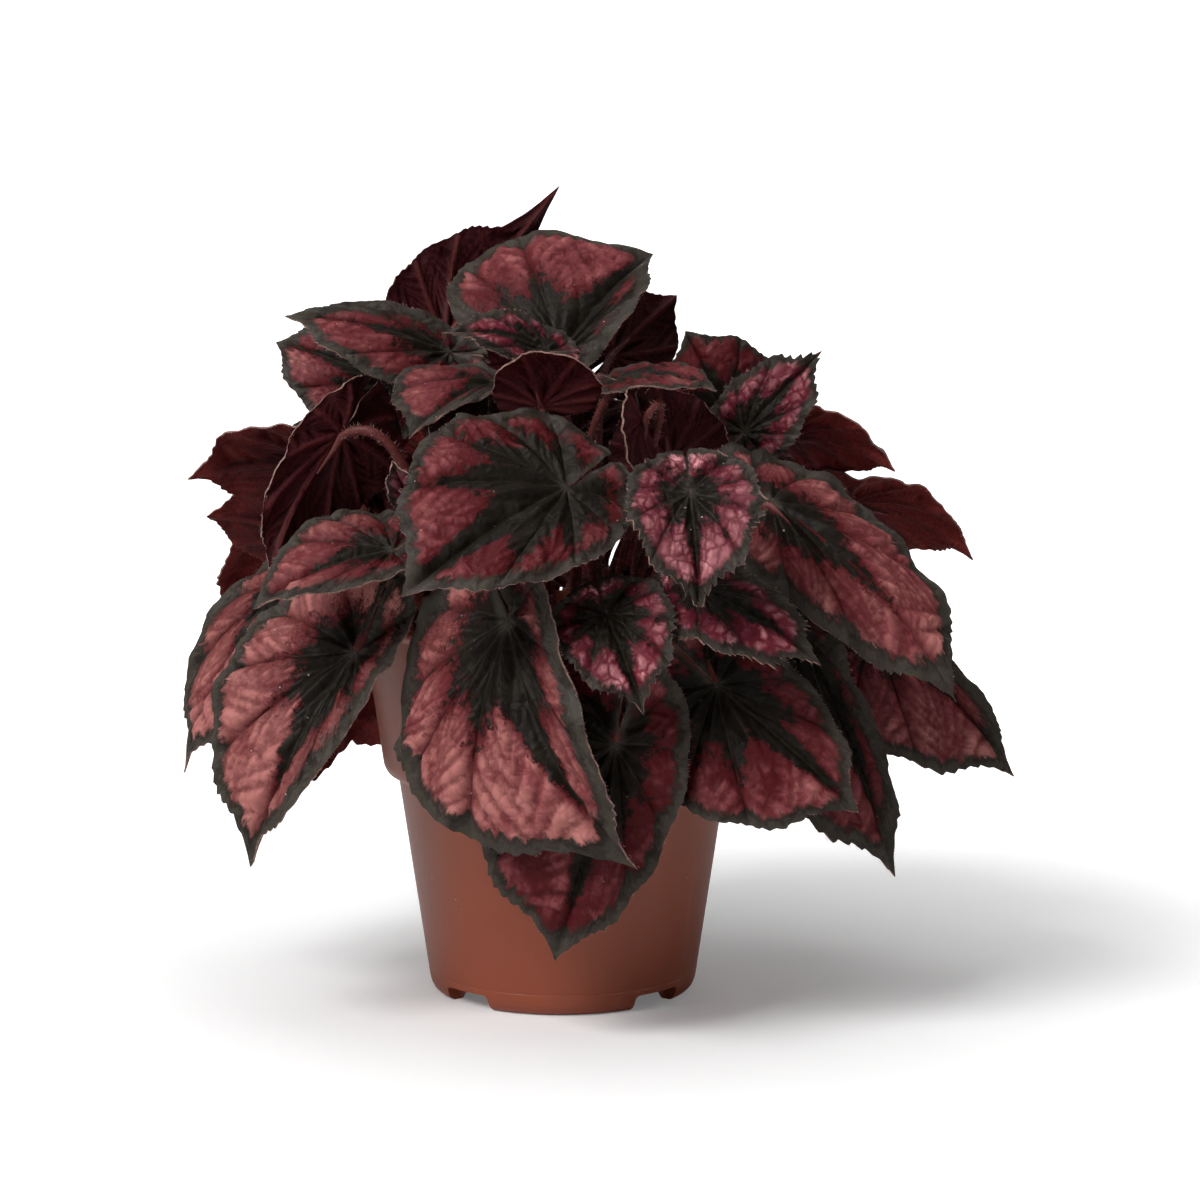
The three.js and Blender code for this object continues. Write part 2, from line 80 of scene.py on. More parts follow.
# Each leaf from its hub, where stalk and blade meet, to its tip, as the solids have it
LEAVES = (
    dict(name="leaf_front_low", hub=(15, -72, 84), tip=(-1, -66, 24), face=(0, -1, 0.05),
         width=(0.66, 1.15), root=(7, -36), fold=(0, 0), climb=60, blush=0),
    dict(name="leaf_front_left", hub=(-14, -66, 117), tip=(20, -88, 55), face=(-0.35, -0.9, 0.25),
         width=(0.5, 1.22), root=(-8, -38), fold=(30, 0), sway=-0.07, ears=0.2, back=0.33,
         blush=0.9, star=0.95, margin=1.2),
    dict(name="leaf_front_right", hub=(43, -56, 98), tip=(81, -66, 65), face=(0.1, -0.9, 0.3),
         width=(0.68, 1.25), root=(32, -28), climb=48, arch=0.05, ears=0.9, back=0.4, blush=0.2, star=1.15),
    dict(name="leaf_right_low", hub=(66, -30, 111), tip=(94, -40, 42), face=(0.6, -0.8, 0.15),
         width=(0.32, 0.95), root=(40, -15), climb=38, arch=0.05, back=0.22, blush=0.2),
    dict(name="leaf_far_right_low", hub=(90, 0, 107), tip=(131, -10, 65), face=(0.35, -0.85, 0.45),
         width=(0.32, 1.1), root=(44, -3), climb=46, blush=0.6, star=0.75),
    dict(name="leaf_right", hub=(58, -46, 148), tip=(108, -62, 95), face=(0.45, -0.75, 0.5),
         width=(0.77, 0.58), root=(26, -17), fold=(-8, -45), ears=0.7, back=0.28,
         blush=0.7, star=0.75, margin=1.1),
    dict(name="leaf_young_heart", hub=(35, -74, 152), tip=(37, -90, 124), face=(0, -0.9, 0.45),
         width=(1.1, 1.05), root=(14, -20), back=0.42, fold=(25, 25), tooth=0.06, reach=0.45,
         blush=1.15, star=1.0),
    dict(name="leaf_young_upright", hub=(52, -18, 165), tip=(73, -16, 187), face=(-0.15, -0.95, 0.1),
         root=(18, -6), tooth=0.06, back=0.35, width=(0.8, 0.8), blush=0.9),
    dict(name="leaf_middle", hub=(2, -65, 153), tip=(-40, -92, 127), face=(-0.1, -0.85, 0.4),
         width=(0.8, 1.25), root=(2, -24), back=0.33, blush=0.15, star=1.45),
    dict(name="leaf_young_middle", hub=(13, -70, 119), tip=(22, -84, 96), face=(0, -0.9, 0.3),
         width=(1.15, 1.1), root=(14, -40), fold=(20, 20), tooth=0.06, blush=0.7, star=1.25),
    dict(name="leaf_young_right", hub=(37, -66, 126), tip=(69, -76, 107), face=(0.1, -0.8, 0.6),
         width=(0.6, 0.85), root=(22, -24), tooth=0.06, back=0.3, reach=0.4, blush=0.5),
    dict(name="leaf_left_level", hub=(-46, -53, 135), tip=(-83, -60, 120), face=(-0.1, -0.6, 0.75),
         width=(0.6, 1), root=(-20, -28), back=0.28, blush=0.7, star=0.75, margin=1.2),
    dict(name="leaf_left_low", hub=(-57, -48, 106), tip=(-86, -56, 48), face=(-0.45, -0.88, 0.25),
         width=(0.38, 1), root=(-32, -27), climb=36, blush=1.2, star=0.85),
    dict(name="leaf_far_left_low", hub=(-79, -6, 122), tip=(-109, -12, 67), face=(-0.7, -0.6, 0.35),
         root=(-44, -10), climb=46, back=0.15, width=(1, 0.6), blush=1.15, star=0.6),
    dict(name="leaf_left_under", hub=(-66, -8, 153), tip=(-107, -9, 151), face=(-0.2, 0.6, 0.7),
         width=(1.1, 1), root=(-33, -4), back=0.2, blush=0.3),
    dict(name="leaf_left_behind", hub=(-77, 18, 130.5), tip=(-106, 17, 138), face=(-0.2, 0.7, 0.6),
         root=(-40, 6), width=(1.05, 1.05), blush=0.3),
    dict(name="leaf_left_dark", hub=(-62, -28, 165.5), tip=(-81, -40, 127), face=(-0.5, 0.75, 0.3),
         width=(0.52, 0.95), root=(-27, -15), blush=-0.3),
    dict(name="leaf_upper_left", hub=(-32, -15, 188), tip=(-78, -15, 198), face=(-0.1, -0.8, 0.6),
         width=(0.75, 0.38), root=(-14, -10), back=0.25, blush=0.5, star=0.75, margin=1.1),
    dict(name="leaf_upper_left_behind", hub=(-50, 0, 178), tip=(-84, 10, 190), face=(-0.3, -0.75, 0.5),
         root=(-22, 2), width=(1, 0.75)),
    dict(name="leaf_top_back", hub=(-35, 20, 190), tip=(-10, 27, 224.5), face=(0, 0.95, 0.2),
         width=(1, 1), root=(-9, 11), point=0.4, blush=-0.6),
    dict(name="leaf_top", hub=(0, -10, 188), tip=(26, 26, 214.5), face=(0, -0.8, 0.6),
         width=(1.9, 0.45), root=(-6, 0), back=0.2, blush=0.35, star=1.1, margin=1.5),
    dict(name="leaf_top_right_behind", hub=(14, 28, 185), tip=(34, 36, 203), face=(0.3, 0.9, 0.3),
         root=(9, 14), width=(1.15, 1.15), blush=-0.3),
    dict(name="leaf_upper_right", hub=(48, 6, 168), tip=(36, 4, 193), face=(0, -0.8, 0.6),
         width=(1.4, 1.4), root=(24, 5), blush=0.1),
    dict(name="leaf_right_upper", hub=(66, -5, 164), tip=(95, -13, 154), face=(0.3, 0.5, 0.8),
         root=(32, -5), back=0.15, width=(1.22, 1.15), blush=0.9),
    dict(name="leaf_far_right", hub=(85, 16, 143), tip=(122, 14, 126), face=(0.2, 0.5, 0.8),
         root=(40, 6), width=(1.15, 0.85), blush=1.2),
    dict(name="leaf_centre", hub=(-5, -45, 174), tip=(-10, -60, 188.5), face=(0, 0.7, 0.5),
         width=(1.85, 1.2), root=(-4, -16), back=0.24, blush=-0.2),
    dict(name="leaf_centre_left", hub=(-18, -34, 180), tip=(-40, -61, 166), face=(-0.3, -0.75, 0.55),
         width=(0.34, 1.3), root=(-12, -18), back=0.2, blush=0.55, star=0.7, margin=1.3),
    dict(name="leaf_young_top", hub=(-4, -31, 189), tip=(-31, -38, 194), face=(-0.1, -0.7, 0.7),
         root=(3, -10), tooth=0.06, width=(0.65, 0.7), blush=0.7),
    dict(name="leaf_centre_right", hub=(16, -35, 181), tip=(43, -42, 178), face=(0, -0.25, 0.97),
         root=(9, -12), back=0.25),
    dict(name="leaf_centre_dark", hub=(22, -46, 170), tip=(26, -52, 152), face=(-0.6, 0.4, 0.4),
         root=(10, -18), width=(1.3, 1), back=0.45, blush=-0.5),
    dict(name="leaf_centre_under", hub=(31, -24, 157), tip=(27, -18, 180), face=(0, 0.9, 0.3),
         width=(1.3, 1.3), root=(15, -9), back=0.5, blush=-0.3),
    dict(name="leaf_unfurling", hub=(-41, -58, 150), tip=(-45, -64, 160), face=(0, -1, -0.4),
         root=(-14, -29), tooth=0.06, fold=(35, 35), reach=0.45, width=(0.8, 0.8),
         blush=1.4, star=0.1),
    dict(name="leaf_back_right_upper", hub=(56, 34, 160), tip=(86, 46, 142), face=(0.5, 0.5, 0.7),
         root=(24, 14), back=0.3),
    dict(name="leaf_inner_left", hub=(-28, -32, 174.5), tip=(-30.5, -43, 158.5),
         face=(-0.07, -1, 0.02), width=(0.8, 0.9), root=(-15.2, -12.8), blush=0.2),
    dict(name="leaf_side_right", hub=(64.5, -6.5, 139), tip=(87, -11, 110.5), face=(0.92, -0.32, 0.25),
         width=(0.8, 1), root=(13.6, 2.9), back=0.33, blush=0.4),
    dict(name="leaf_side_left", hub=(-66, 12.5, 156.5), tip=(-86, 34, 155), face=(-0.83, 0.56, -0.03),
         width=(1.2, 0.8), root=(-22.8, 8.7), blush=0.5),
    dict(name="leaf_back_high", hub=(-30, 48.5, 178), tip=(-14, 84, 145), face=(-0.09, 0.66, 0.75),
         width=(0.78, 1.13), root=(-14, 8.8), back=0.28, blush=0.6),
    dict(name="leaf_back_high_right", hub=(41, 45.5, 172), tip=(77, 59, 154), face=(0.03, 0.76, 0.64),
         width=(1.23, 0.89), root=(17, 23), blush=0.5),
)

# The far side repeats leaves of the near side, turned about the pot's axis by so many degrees
TURNED_LEAVES = (
    ("leaf_back_low", "leaf_front_low", 180),
    ("leaf_back_left", "leaf_front_left", 180),
    ("leaf_back_right", "leaf_front_right", 184),
    ("leaf_back_right_low", "leaf_right_low", 182),
    ("leaf_back_left_low", "leaf_left_low", 178),
    ("leaf_back_middle", "leaf_middle", 182),
    ("leaf_back_young_middle", "leaf_young_middle", 180),
    ("leaf_back_young_right", "leaf_young_right", 180),
    ("leaf_back_left_level", "leaf_left_level", 176),
    ("leaf_back_upper", "leaf_right", 180),
    ("leaf_back_young_heart", "leaf_young_heart", 186),
)

# A blade's outline is a heart, given as reaches from the stalk in shares of the leaf's length
FRONT_REACH = 0.62
SHOULDER_REACH = 0.26
SHOULDER_TURN = 0.655
POINT_TURN = 0.07
NOTCH_HALF_TURN = 0.09
COLUMN_CROWDING = 0.4
CURL_LENGTH = 0.5
YOUNG_LENGTH = 34
SOLID_COLUMNS = 20
YOUNG_SOLID_COLUMNS = 16

# Its edge: how much of the solids' teeth the lobes keep, and how a saw tooth rises and falls
LOBE_DEPTH = 0.55
SAW_RISE = 0.7
SAW_FALL = 0.3

# Its grid: the shares of the reach from which faces are halved, the rows up to the first of them,
# the mean breadth of the last band in shares of the leaf's length, and a face's height to its width
HALVED_FROM = (0.13, 0.36)
INNER_ROWS = 2
LAST_BAND = 0.36
FACE_HEIGHT = 1.3
EDGE_POINTS = 400

# The lengths, in millimetres, from which a leaf has another row, and at which its relief is full
LONG_LEAF = 45
LARGE_LEAF = 75

# Stalks
SOIL_TOP = 97
STALK_DEPTH = 9
STALK_RADIUS = 0.9
STALK_RADIUS_GROWTH = 0.013
FOOT_SWELL = 0.15
RIDGED_SHARE = 0.94
OUTWARD_LEAN = 0.008
STALK_RISE = 0.5
CLIMB_TURN_IN = 0.75
BEHIND_BLADE = 0.25

# Under the midrib, where the stalk meets the blade and runs on as a keel: each share of the reach,
# the depth below the blade and the thickness, both in radii of the stalk
HUB_SHARE, HUB_DEPTH = 0.02, 1.05
KEEL = ((0.07, 1.5, 0.78), (0.13, 1.9, 0.58), (0.21, 1.85, 0.4), (0.3, 1.7, 0.22))

# Veins: the turn of each main vein from the midrib, in degrees, and how far it runs to the edge
MAIN_VEINS = ((0, 0.98), (31, 0.96), (64, 0.95), (102, 0.94), (143, 0.9))
VEIN_BEND = 0.1
VEIN_POINTS = 60

# Side veins: where they leave a main vein, how far apart those of its two sides leave it, the room
# they need before its end, and how much of the gap to the next main vein they cross
BRANCH_STARTS = (0.16, 0.3, 0.44, 0.58, 0.72, 0.84)
BRANCH_OFFSET = 0.035
BRANCH_ROOM = 0.08
BRANCH_SPREAD = 0.52
BRANCH_END = 0.97
BRANCH_POINTS = 26
VEIN_CHANCE = 0.04

# Relief: the ruffles' height in shares of the leaf's length, and the height and the half width, in
# millimetres, of the ribs below a main vein and a side vein
RUFFLE_HEIGHT = 0.008
MAIN_RIB = (0.75, 0.8)
SIDE_RIB = (0.3, 0.6)

# The star: how far its core and its arms reach, in shares of the way to the edge, and the arms'
# half width in shares of the leaf's length. The arm on the midrib reaches further
GROWN_STAR = (0.3, 0.23, 0.055)
YOUNG_STAR = (0.28, 0.26, 0.05)
MIDRIB_ARM = 0.24
YOUNG_MARGIN_SHARE = 0.065

# Hairs: their lengths in millimetres on the edge and on the stalk, the steps of a stalk's route and
# those of them in the compost. A blade's edge counts as 2.4 lengths of its leaf: most are 3 to 4
EDGE_HAIRS = (0.35, 0.9)
STALK_HAIRS = (0.6, 1.6)
ROUTE_STEPS = 60
BURIED_STEPS = 8
COUNTED_EDGE = 2.4

# The largest angles, in degrees, that are shaded smooth, and the gap at which corners are merged
SMOOTH_LEAF, SMOOTH_POT, SMOOTH_GRAIN = 58, 32, 40
SAME_PLACE = 1e-6


def unit(vector):
    """A vector, or each row of an array of them, at length one."""
    length = np.linalg.norm(vector, axis=-1, keepdims=True)
    return vector / np.maximum(length, 1e-12)


def grown(entry, number):
    """Every measure of one leaf, with its own axes: along the midrib, to its left, and off its face."""
    leaf = SimpleNamespace(**{**USUAL_LEAF, **entry}, number=number)
    leaf.hub = np.array(leaf.hub, float)
    to_tip = np.array(leaf.tip, float) - leaf.hub
    leaf.length = float(np.linalg.norm(to_tip))
    leaf.along = to_tip / leaf.length
    face = np.array(leaf.face, float)
    leaf.face = unit(face - (face @ leaf.along) * leaf.along)
    leaf.left = np.cross(leaf.face, leaf.along)
    leaf.stalk_radius = STALK_RADIUS + STALK_RADIUS_GROWTH * leaf.length
    leaf.young = "young" in leaf.name or "unfurling" in leaf.name
    leaf.lobes = YOUNG_SOLID_COLUMNS if leaf.length < YOUNG_LENGTH else SOLID_COLUMNS
    leaf.chance = np.random.default_rng(100 + number)
    return leaf


def turned(name, source_name, degrees):
    """A near-side leaf's line, turned about the pot's axis and given another name."""
    source = next(leaf for leaf in LEAVES if leaf["name"] == source_name)
    angle = math.radians(degrees)
    cosine, sine = math.cos(angle), math.sin(angle)
    made = dict(source, name=name)
    for key in ("hub", "tip", "face", "root"):
        x, y, *rest = source[key]
        made[key] = (x * cosine - y * sine, x * sine + y * cosine, *rest)
    return made


def outline(leaf, turn):
    """Distance from the stalk to the edge at a turn from the midrib, as a share of the length."""
    middle = (FRONT_REACH + leaf.back) / 2
    heart = middle + (FRONT_REACH - middle) * np.cos(turn)
    shoulder = SHOULDER_REACH * np.exp(-((turn / SHOULDER_TURN) ** 2))
    point = leaf.point * np.exp(-np.abs(turn) / POINT_TURN)
    return heart + shoulder + point


def blade_points(leaf, turn, share, toothed=0.0):
    """Points of the blade's middle surface, in millimetres from the pot's axis."""
    turn, share = np.asarray(turn, float), np.asarray(share, float)
    reach = outline(leaf, turn) * share * (1 + toothed)
    ahead = reach * np.cos(turn)
    aside = reach * np.sin(turn) * leaf.length
    side = np.where(aside >= 0, 0, 1)
    across = np.abs(aside) * np.array(leaf.width)[side]
    start = np.radians(leaf.fold)[side]
    bend = np.radians(leaf.curl)[side] / (CURL_LENGTH * leaf.length)
    end = start + bend * across
    out = (np.sin(end) - np.sin(start)) / bend
    up = (np.cos(start) - np.cos(end)) / bend
    in_front, behind = np.maximum(ahead, 0), np.minimum(ahead, 0)
    bow = 4 * ahead * (1 - in_front)
    lift = leaf.arch * bow + leaf.ears * behind**2
    slope = leaf.arch * 4 * (1 - 2 * in_front) + 2 * leaf.ears * behind
    ripple = leaf.wave * share**2 * np.sin(leaf.waves * turn + leaf.phase)
    upward = unit(leaf.face - slope[..., None] * leaf.along)
    sideways = leaf.sway * bow * leaf.length + np.where(side == 1, -out, out)
    return (
        leaf.hub
        + leaf.along * (ahead * leaf.length)[..., None]
        + leaf.face * (lift * leaf.length)[..., None]
        + leaf.left * sideways[..., None]
        + upward * (up + ripple * leaf.length)[..., None]
    )


def flat_points(leaf, turn, share):
    """The same points with the blade pressed flat: millimetres ahead of the stalk and to its left."""
    reach = outline(leaf, turn) * share * leaf.length
    aside = reach * np.sin(turn)
    width = np.where(aside >= 0, leaf.width[0], leaf.width[1])
    return np.stack([reach * np.cos(turn), aside * width], axis=-1)


def column_turn(across):
    """The turn from the midrib at a place across the grid, from -1 to 1: crowded near the tip."""
    crowded = (1 - COLUMN_CROWDING) * across + COLUMN_CROWDING * across**3
    return (math.pi - NOTCH_HALF_TURN) * crowded


def edge_line(leaf):
    """Flat points along the blade's edge, from one side of the notch round to the other."""
    turn = column_turn(np.linspace(-1, 1, EDGE_POINTS))
    return flat_points(leaf, turn, np.ones(EDGE_POINTS))


def notch_line(leaf):
    """Flat points along both sides of the notch behind the stalk."""
    share = np.linspace(0, 1, VEIN_POINTS)
    sides = [flat_points(leaf, np.full(VEIN_POINTS, column_turn(side)), share) for side in (-1.0, 1.0)]
    return np.concatenate(sides)


def main_vein_line(turn, end):
    """A main vein's turns and shares: it bends a little towards the tip."""
    share = np.linspace(0, end, VEIN_POINTS)
    return turn * (1 - VEIN_BEND * share), share


def branch_line(vein_turn, gap, start):
    """A side vein's turns and shares: it leaves its main vein and runs to the edge beside it."""
    way = np.linspace(0, 1, BRANCH_POINTS)
    run = 0.2 + 0.25 * (1 - start)
    share = np.minimum(start + run * way, BRANCH_END)
    return vein_turn * (1 - VEIN_BEND * share) + gap * way**0.8, share


def vein_network(leaf):
    """Flat points along the main veins and along their branches."""
    mains, branches = [], []
    ends = {sign * math.radians(turn): end for turn, end in MAIN_VEINS for sign in (-1, 1)}
    turns = sorted(ends)
    for place, turn in enumerate(turns):
        end = ends[turn]
        turn += leaf.chance.uniform(-VEIN_CHANCE, VEIN_CHANCE) if turn else 0
        mains.append(flat_points(leaf, *main_vein_line(turn, end)))
        for side in (-1, 1):
            beside = place + side
            if not 0 <= beside < len(turns):
                continue
            gap = BRANCH_SPREAD * (turns[beside] - turns[place])
            for start in BRANCH_STARTS:
                begun = start + leaf.chance.uniform(-VEIN_CHANCE, VEIN_CHANCE) + BRANCH_OFFSET * side
                if begun > end - BRANCH_ROOM:
                    continue
                spread = gap * leaf.chance.uniform(0.8, 1.05)
                branches.append(flat_points(leaf, *branch_line(turn, spread, begun)))
    return np.concatenate(mains), np.concatenate(branches)


def nearest(points, line):
    """Each point's distance to the nearest point of a line."""
    gaps = points[:, None, :] - line[None, :, :]
    return np.sqrt((gaps**2).sum(axis=2).min(axis=1))


def edge_teeth(leaf, across):
    """How far the edge stands in or out, as a share of its reach: broad lobes with saw teeth on them."""
    column = (across + 1) / 2 * leaf.lobes
    ends = np.clip((1 - np.abs(across)) * leaf.lobes / 2, 0, 1)
    lobes = LOBE_DEPTH * leaf.tooth * np.cos(math.pi * column)
    teeth_to_lobe, deepest = (2.8, 0.09) if leaf.young else (2.6, 0.026)
    phase = (column * teeth_to_lobe + 0.35 * np.sin(2.3 * column + leaf.number)) % 1
    saw = np.where(phase < SAW_RISE, phase / SAW_RISE, (1 - phase) / SAW_FALL) - 0.5
    depth = deepest * (0.7 + 0.3 * np.sin(1.7 * column))
    return ends * (lobes + depth * saw)


def puckers(leaf, flat):
    """Small smooth unevenness over the whole blade, seven waves together, mostly within -1 and 1."""
    shortest, longest = (3.2, 8.0) if leaf.young else (6.0, 15.0)
    height = np.zeros(len(flat))
    for _ in range(7):
        angle, phase = leaf.chance.uniform(0, math.tau, 2)
        waves_per_mm = 1 / leaf.chance.uniform(shortest, longest)
        way = flat @ np.array([math.cos(angle), math.sin(angle)])
        height += np.sin(math.tau * waves_per_mm * way + phase)
    return height / 4


# Small helpers for Blender's own tools


def alone(made):
    """Makes one object the only one selected, and the active one."""
    bpy.ops.object.select_all(action="DESELECT")
    made.select_set(True)
    bpy.context.view_layer.objects.active = made


def started(primitive_add, **settings):
    """Adds one of Blender's primitives with nothing else selected, and gives its object."""
    bpy.ops.object.select_all(action="DESELECT")
    primitive_add(**settings)
    return bpy.context.view_layer.objects.active


def pick(made, kind, wanted):
    """In edit mode, selects the faces or edges that pass a test, and no others."""
    bpy.ops.mesh.select_mode(type=kind)
    shape = bmesh.from_edit_mesh(made.data)
    for part in shape.faces if kind == "FACE" else shape.edges:
        part.select_set(wanted(part))
    bmesh.update_edit_mesh(made.data)


def corner_values(mesh, kind):
    """The place (co) or the direction (normal) of each of a mesh's corners, as an array."""
    flat = np.empty(len(mesh.vertices) * 3)
    mesh.vertices.foreach_get(kind, flat)
    return flat.reshape(-1, 3)


def put_coordinates(mesh, points):
    """Moves a mesh's corners to an array of places."""
    mesh.vertices.foreach_set("co", np.ascontiguousarray(points, float).ravel())
    mesh.update()


def lift_corners(mesh, heights):
    """Moves each corner the way that the surface faces there, by so many millimetres."""
    lifts = corner_values(mesh, "normal") * (heights * MM)[:, None]
    put_coordinates(mesh, corner_values(mesh, "co") + lifts)


def store(mesh, name, values):
    """Keeps one number a corner, for a material to read."""
    attribute = mesh.attributes.new(name, "FLOAT", "POINT")
    attribute.data.foreach_set("value", np.asarray(values, np.float32))


def merge_corners(made):
    """Merges the corners of a lone piece that lie at one place."""
    alone(made)
    bpy.ops.object.mode_set(mode="EDIT")
    bpy.ops.mesh.select_all(action="SELECT")
    bpy.ops.mesh.remove_doubles(threshold=SAME_PLACE)
    bpy.ops.object.mode_set(mode="OBJECT")


def copied(made, name, corners, faces, material):
    """Gives an object a mesh of copies: corners in millimetres from the axis, faces, and a material."""
    mesh = bpy.data.meshes.new(name)
    mesh.from_pydata((AXIS + corners * MM).tolist(), [], faces.tolist())
    mesh.materials.append(material)
    made.data = mesh


def apply_modifier(made, kind, **settings):
    """Adds a modifier and applies it at once."""
    alone(made)
    modifier = made.modifiers.new(kind.title(), kind)
    for name, value in settings.items():
        setattr(modifier, name, value)
    bpy.ops.object.modifier_apply(modifier=modifier.name)


def finish_piece(made, name, nodes=()):
    """Names a piece, puts its place in its mesh, and hangs it on the frame."""
    alone(made)
    bpy.ops.object.transform_apply(location=True, rotation=True, scale=True)
    made.name = name
    made.data.name = name
    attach(made, "root")
    if nodes:
        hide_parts(*nodes)


# Materials

SMOOTH = {"interpolation_type": "SMOOTHSTEP"}
CENTRED = {"normalize": False}
TO_EDGE = {"feature": "DISTANCE_TO_EDGE"}


def linear(code):
    """An sRGB hex colour as linear red, green, blue and alpha."""
    parts = [int(code[i : i + 2], 16) / 255 for i in (1, 3, 5)]
    return tuple(c / 12.92 if c <= 0.04045 else ((c + 0.055) / 1.055) ** 2.4 for c in parts) + (1.0,)


def put(tree, node, inputs):
    """Links or sets a shader node's inputs."""
    for socket, value in dict(inputs).items():
        if isinstance(value, bpy.types.NodeSocket):
            tree.links.new(value, node.inputs[socket])
        else:
            node.inputs[socket].default_value = value


def add(tree, kind, inputs=(), output=0, **settings):
    """Adds one shader node, sets it up, fills its inputs, and gives one of its outputs."""
    made = tree.nodes.new("ShaderNode" + kind)
    for name, value in settings.items():
        setattr(made, name, value)
    put(tree, made, inputs)
    return made.outputs[output]


def laid(tree, below, *layers):
    """Colours laid over one another: more of each as its mask goes from low to high, up to its share."""
    for above, mask, low, high, *share in layers:
        amount = add(tree, "MapRange", {0: mask, 1: low, 2: high, 4: share[0] if share else 1}, **SMOOTH)
        below = add(tree, "Mix", {0: amount, 6: below, 7: above}, 2, data_type="RGBA")
    return below


def uneven(tree, name, *textures):
    """A number stored at the mesh's corners, made uneven by textures, each with its strength."""
    value = add(tree, "Attribute", (), "Fac", attribute_name=name)
    for texture, amount in textures:
        value = add(tree, "Math", {0: texture, 1: amount, 2: value}, operation="MULTIPLY_ADD")
    return value


def new_material(name):
    """A material with a bare surface shader; gives the material, its tree and the shader."""
    material = bpy.data.materials.new(name)
    material.use_nodes = True
    tree = material.node_tree
    return material, tree, tree.nodes["Principled BSDF"]


# What sets grown and young upper skins apart: how far their colours run into each other and how
# deep their blisters are, in mm, how much the net between the blisters shows, and blisters to a mm
GROWN_SKIN = dict(feather=6.5, depth=0.25, netted=0.2, cells=0.3)
YOUNG_SKIN = dict(feather=4.5, depth=0.5, netted=0.75, cells=0.27)


def leaf_upper(name, colours, feather, depth, netted, cells):
    """The upper skin: a dark star on the veins, a red zone with painted shade in its creases and along its
    veins, and a grey-green margin.
    """
    # A living leaf has a thin waxy skin over soft quilted tissue: a dull satin, never glassy. Its
    # colours run into each other in strokes 1.2 mm wide that follow the veins, in rags of 3.3 mm
    # and in sandy specks of 0.8 mm, over blisters of about 3.5 mm and patches of 11 mm. The skin's
    # cells are far too fine to show, so the grain is 0.6 mm. Pale dots lie about 6 mm apart
    pale, pink, crimson, dark, vein_green, margin = (linear(code) for code in colours)
    material, tree, shader = new_material(name)
    flat = add(tree, "UVMap", uv_map="flat")
    along = add(tree, "UVMap", uv_map="streaky")
    noises = []
    for place, scale, detail, roughness in (
        (along, 0.85, 4, 0.7), (flat, 0.3, 5, 0.68), (flat, 1.3, 3, 0.8), (flat, 0.09, 3, 0.5),
    ):
        inputs = {"Vector": place, "Scale": scale, "Detail": detail, "Roughness": roughness}
        noises.append(add(tree, "TexNoise", inputs, **CENTRED))
    streak, ragged, sand, broad = noises
    grain = add(tree, "TexNoise", {"Vector": flat, "Scale": 1.6, "Detail": 4, "Roughness": 0.55})
    drift = add(tree, "TexNoise", {"Vector": flat, "Scale": 0.3, "Detail": 2}, "Color")
    bent = add(tree, "VectorMath", {0: drift, 1: (3, 3, 0), 2: flat}, operation="MULTIPLY_ADD")
    net = add(tree, "TexVoronoi", {"Vector": bent, "Scale": cells}, "Distance", **TO_EDGE)
    blister = add(tree, "MapRange", {0: net, 1: 0.0, 2: 0.35}, **SMOOTH)
    dots = add(tree, "TexVoronoi", {"Vector": flat, "Scale": 0.16}, "Distance")
    star = uneven(tree, "star", (streak, 0.5 * feather), (ragged, feather), (sand, 0.45 * feather))
    rim = uneven(tree, "margin", (streak, 0.2 * feather), (ragged, 0.15 * feather))
    blush = uneven(tree, "blush", (broad, 0.6), (ragged, 0.1), (streak, 0.15), (blister, netted))
    crease = uneven(tree, "crease", (ragged, 0.6))
    vein = uneven(tree, "vein")
    heart = laid(tree, vein_green, (dark, vein, 0.0, 0.6), (vein_green, broad, 0.1, 0.6, 0.4))
    edge = laid(
        tree, dark,
        (margin, grain, 0.1, 0.5),
        (dark, rim, 2.5, 0.5, 0.6),
        (dark, broad, 0.1, 0.5, 0.5),
    )
    colour = laid(
        tree, crimson,
        (pink, blush, -0.1, 0.5),
        # The palest red is partly painted light: it lies on leaves set paler for being in the light
        (pale, blush, 0.45, 1.3),
        # Painted shade: crimson laid in the creases and near the main veins, where the folds sink
        (crimson, crease, 1.7, 0.1, 0.62),
        (crimson, vein, 4.5, 0.0, 0.55),
        (crimson, net, 0.2, 0.0, netted),
        (crimson, star, -9.0, -1.0, 0.85),
        # Painted shade: a dark line along the main veins' grooves
        (dark, vein, 0.8, 0.1, 0.45),
        (heart, star, -2.6, 1.2),
        (edge, rim, -1.1, 0.7),
        (linear("#a5918a"), dots, 0.04, 0.025),
    )
    height = add(tree, "Math", {0: grain, 1: 0.3, 2: blister}, operation="MULTIPLY_ADD")
    put(tree, shader, {
        "Base Color": colour,
        "Roughness": add(tree, "MapRange", {0: grain, 3: 0.42, 4: 0.6}),
        "Specular IOR Level": 0.1,
        "Normal": add(tree, "Bump", {"Height": height, "Distance": depth * MM, "Strength": 0.8}),
    })
    return material


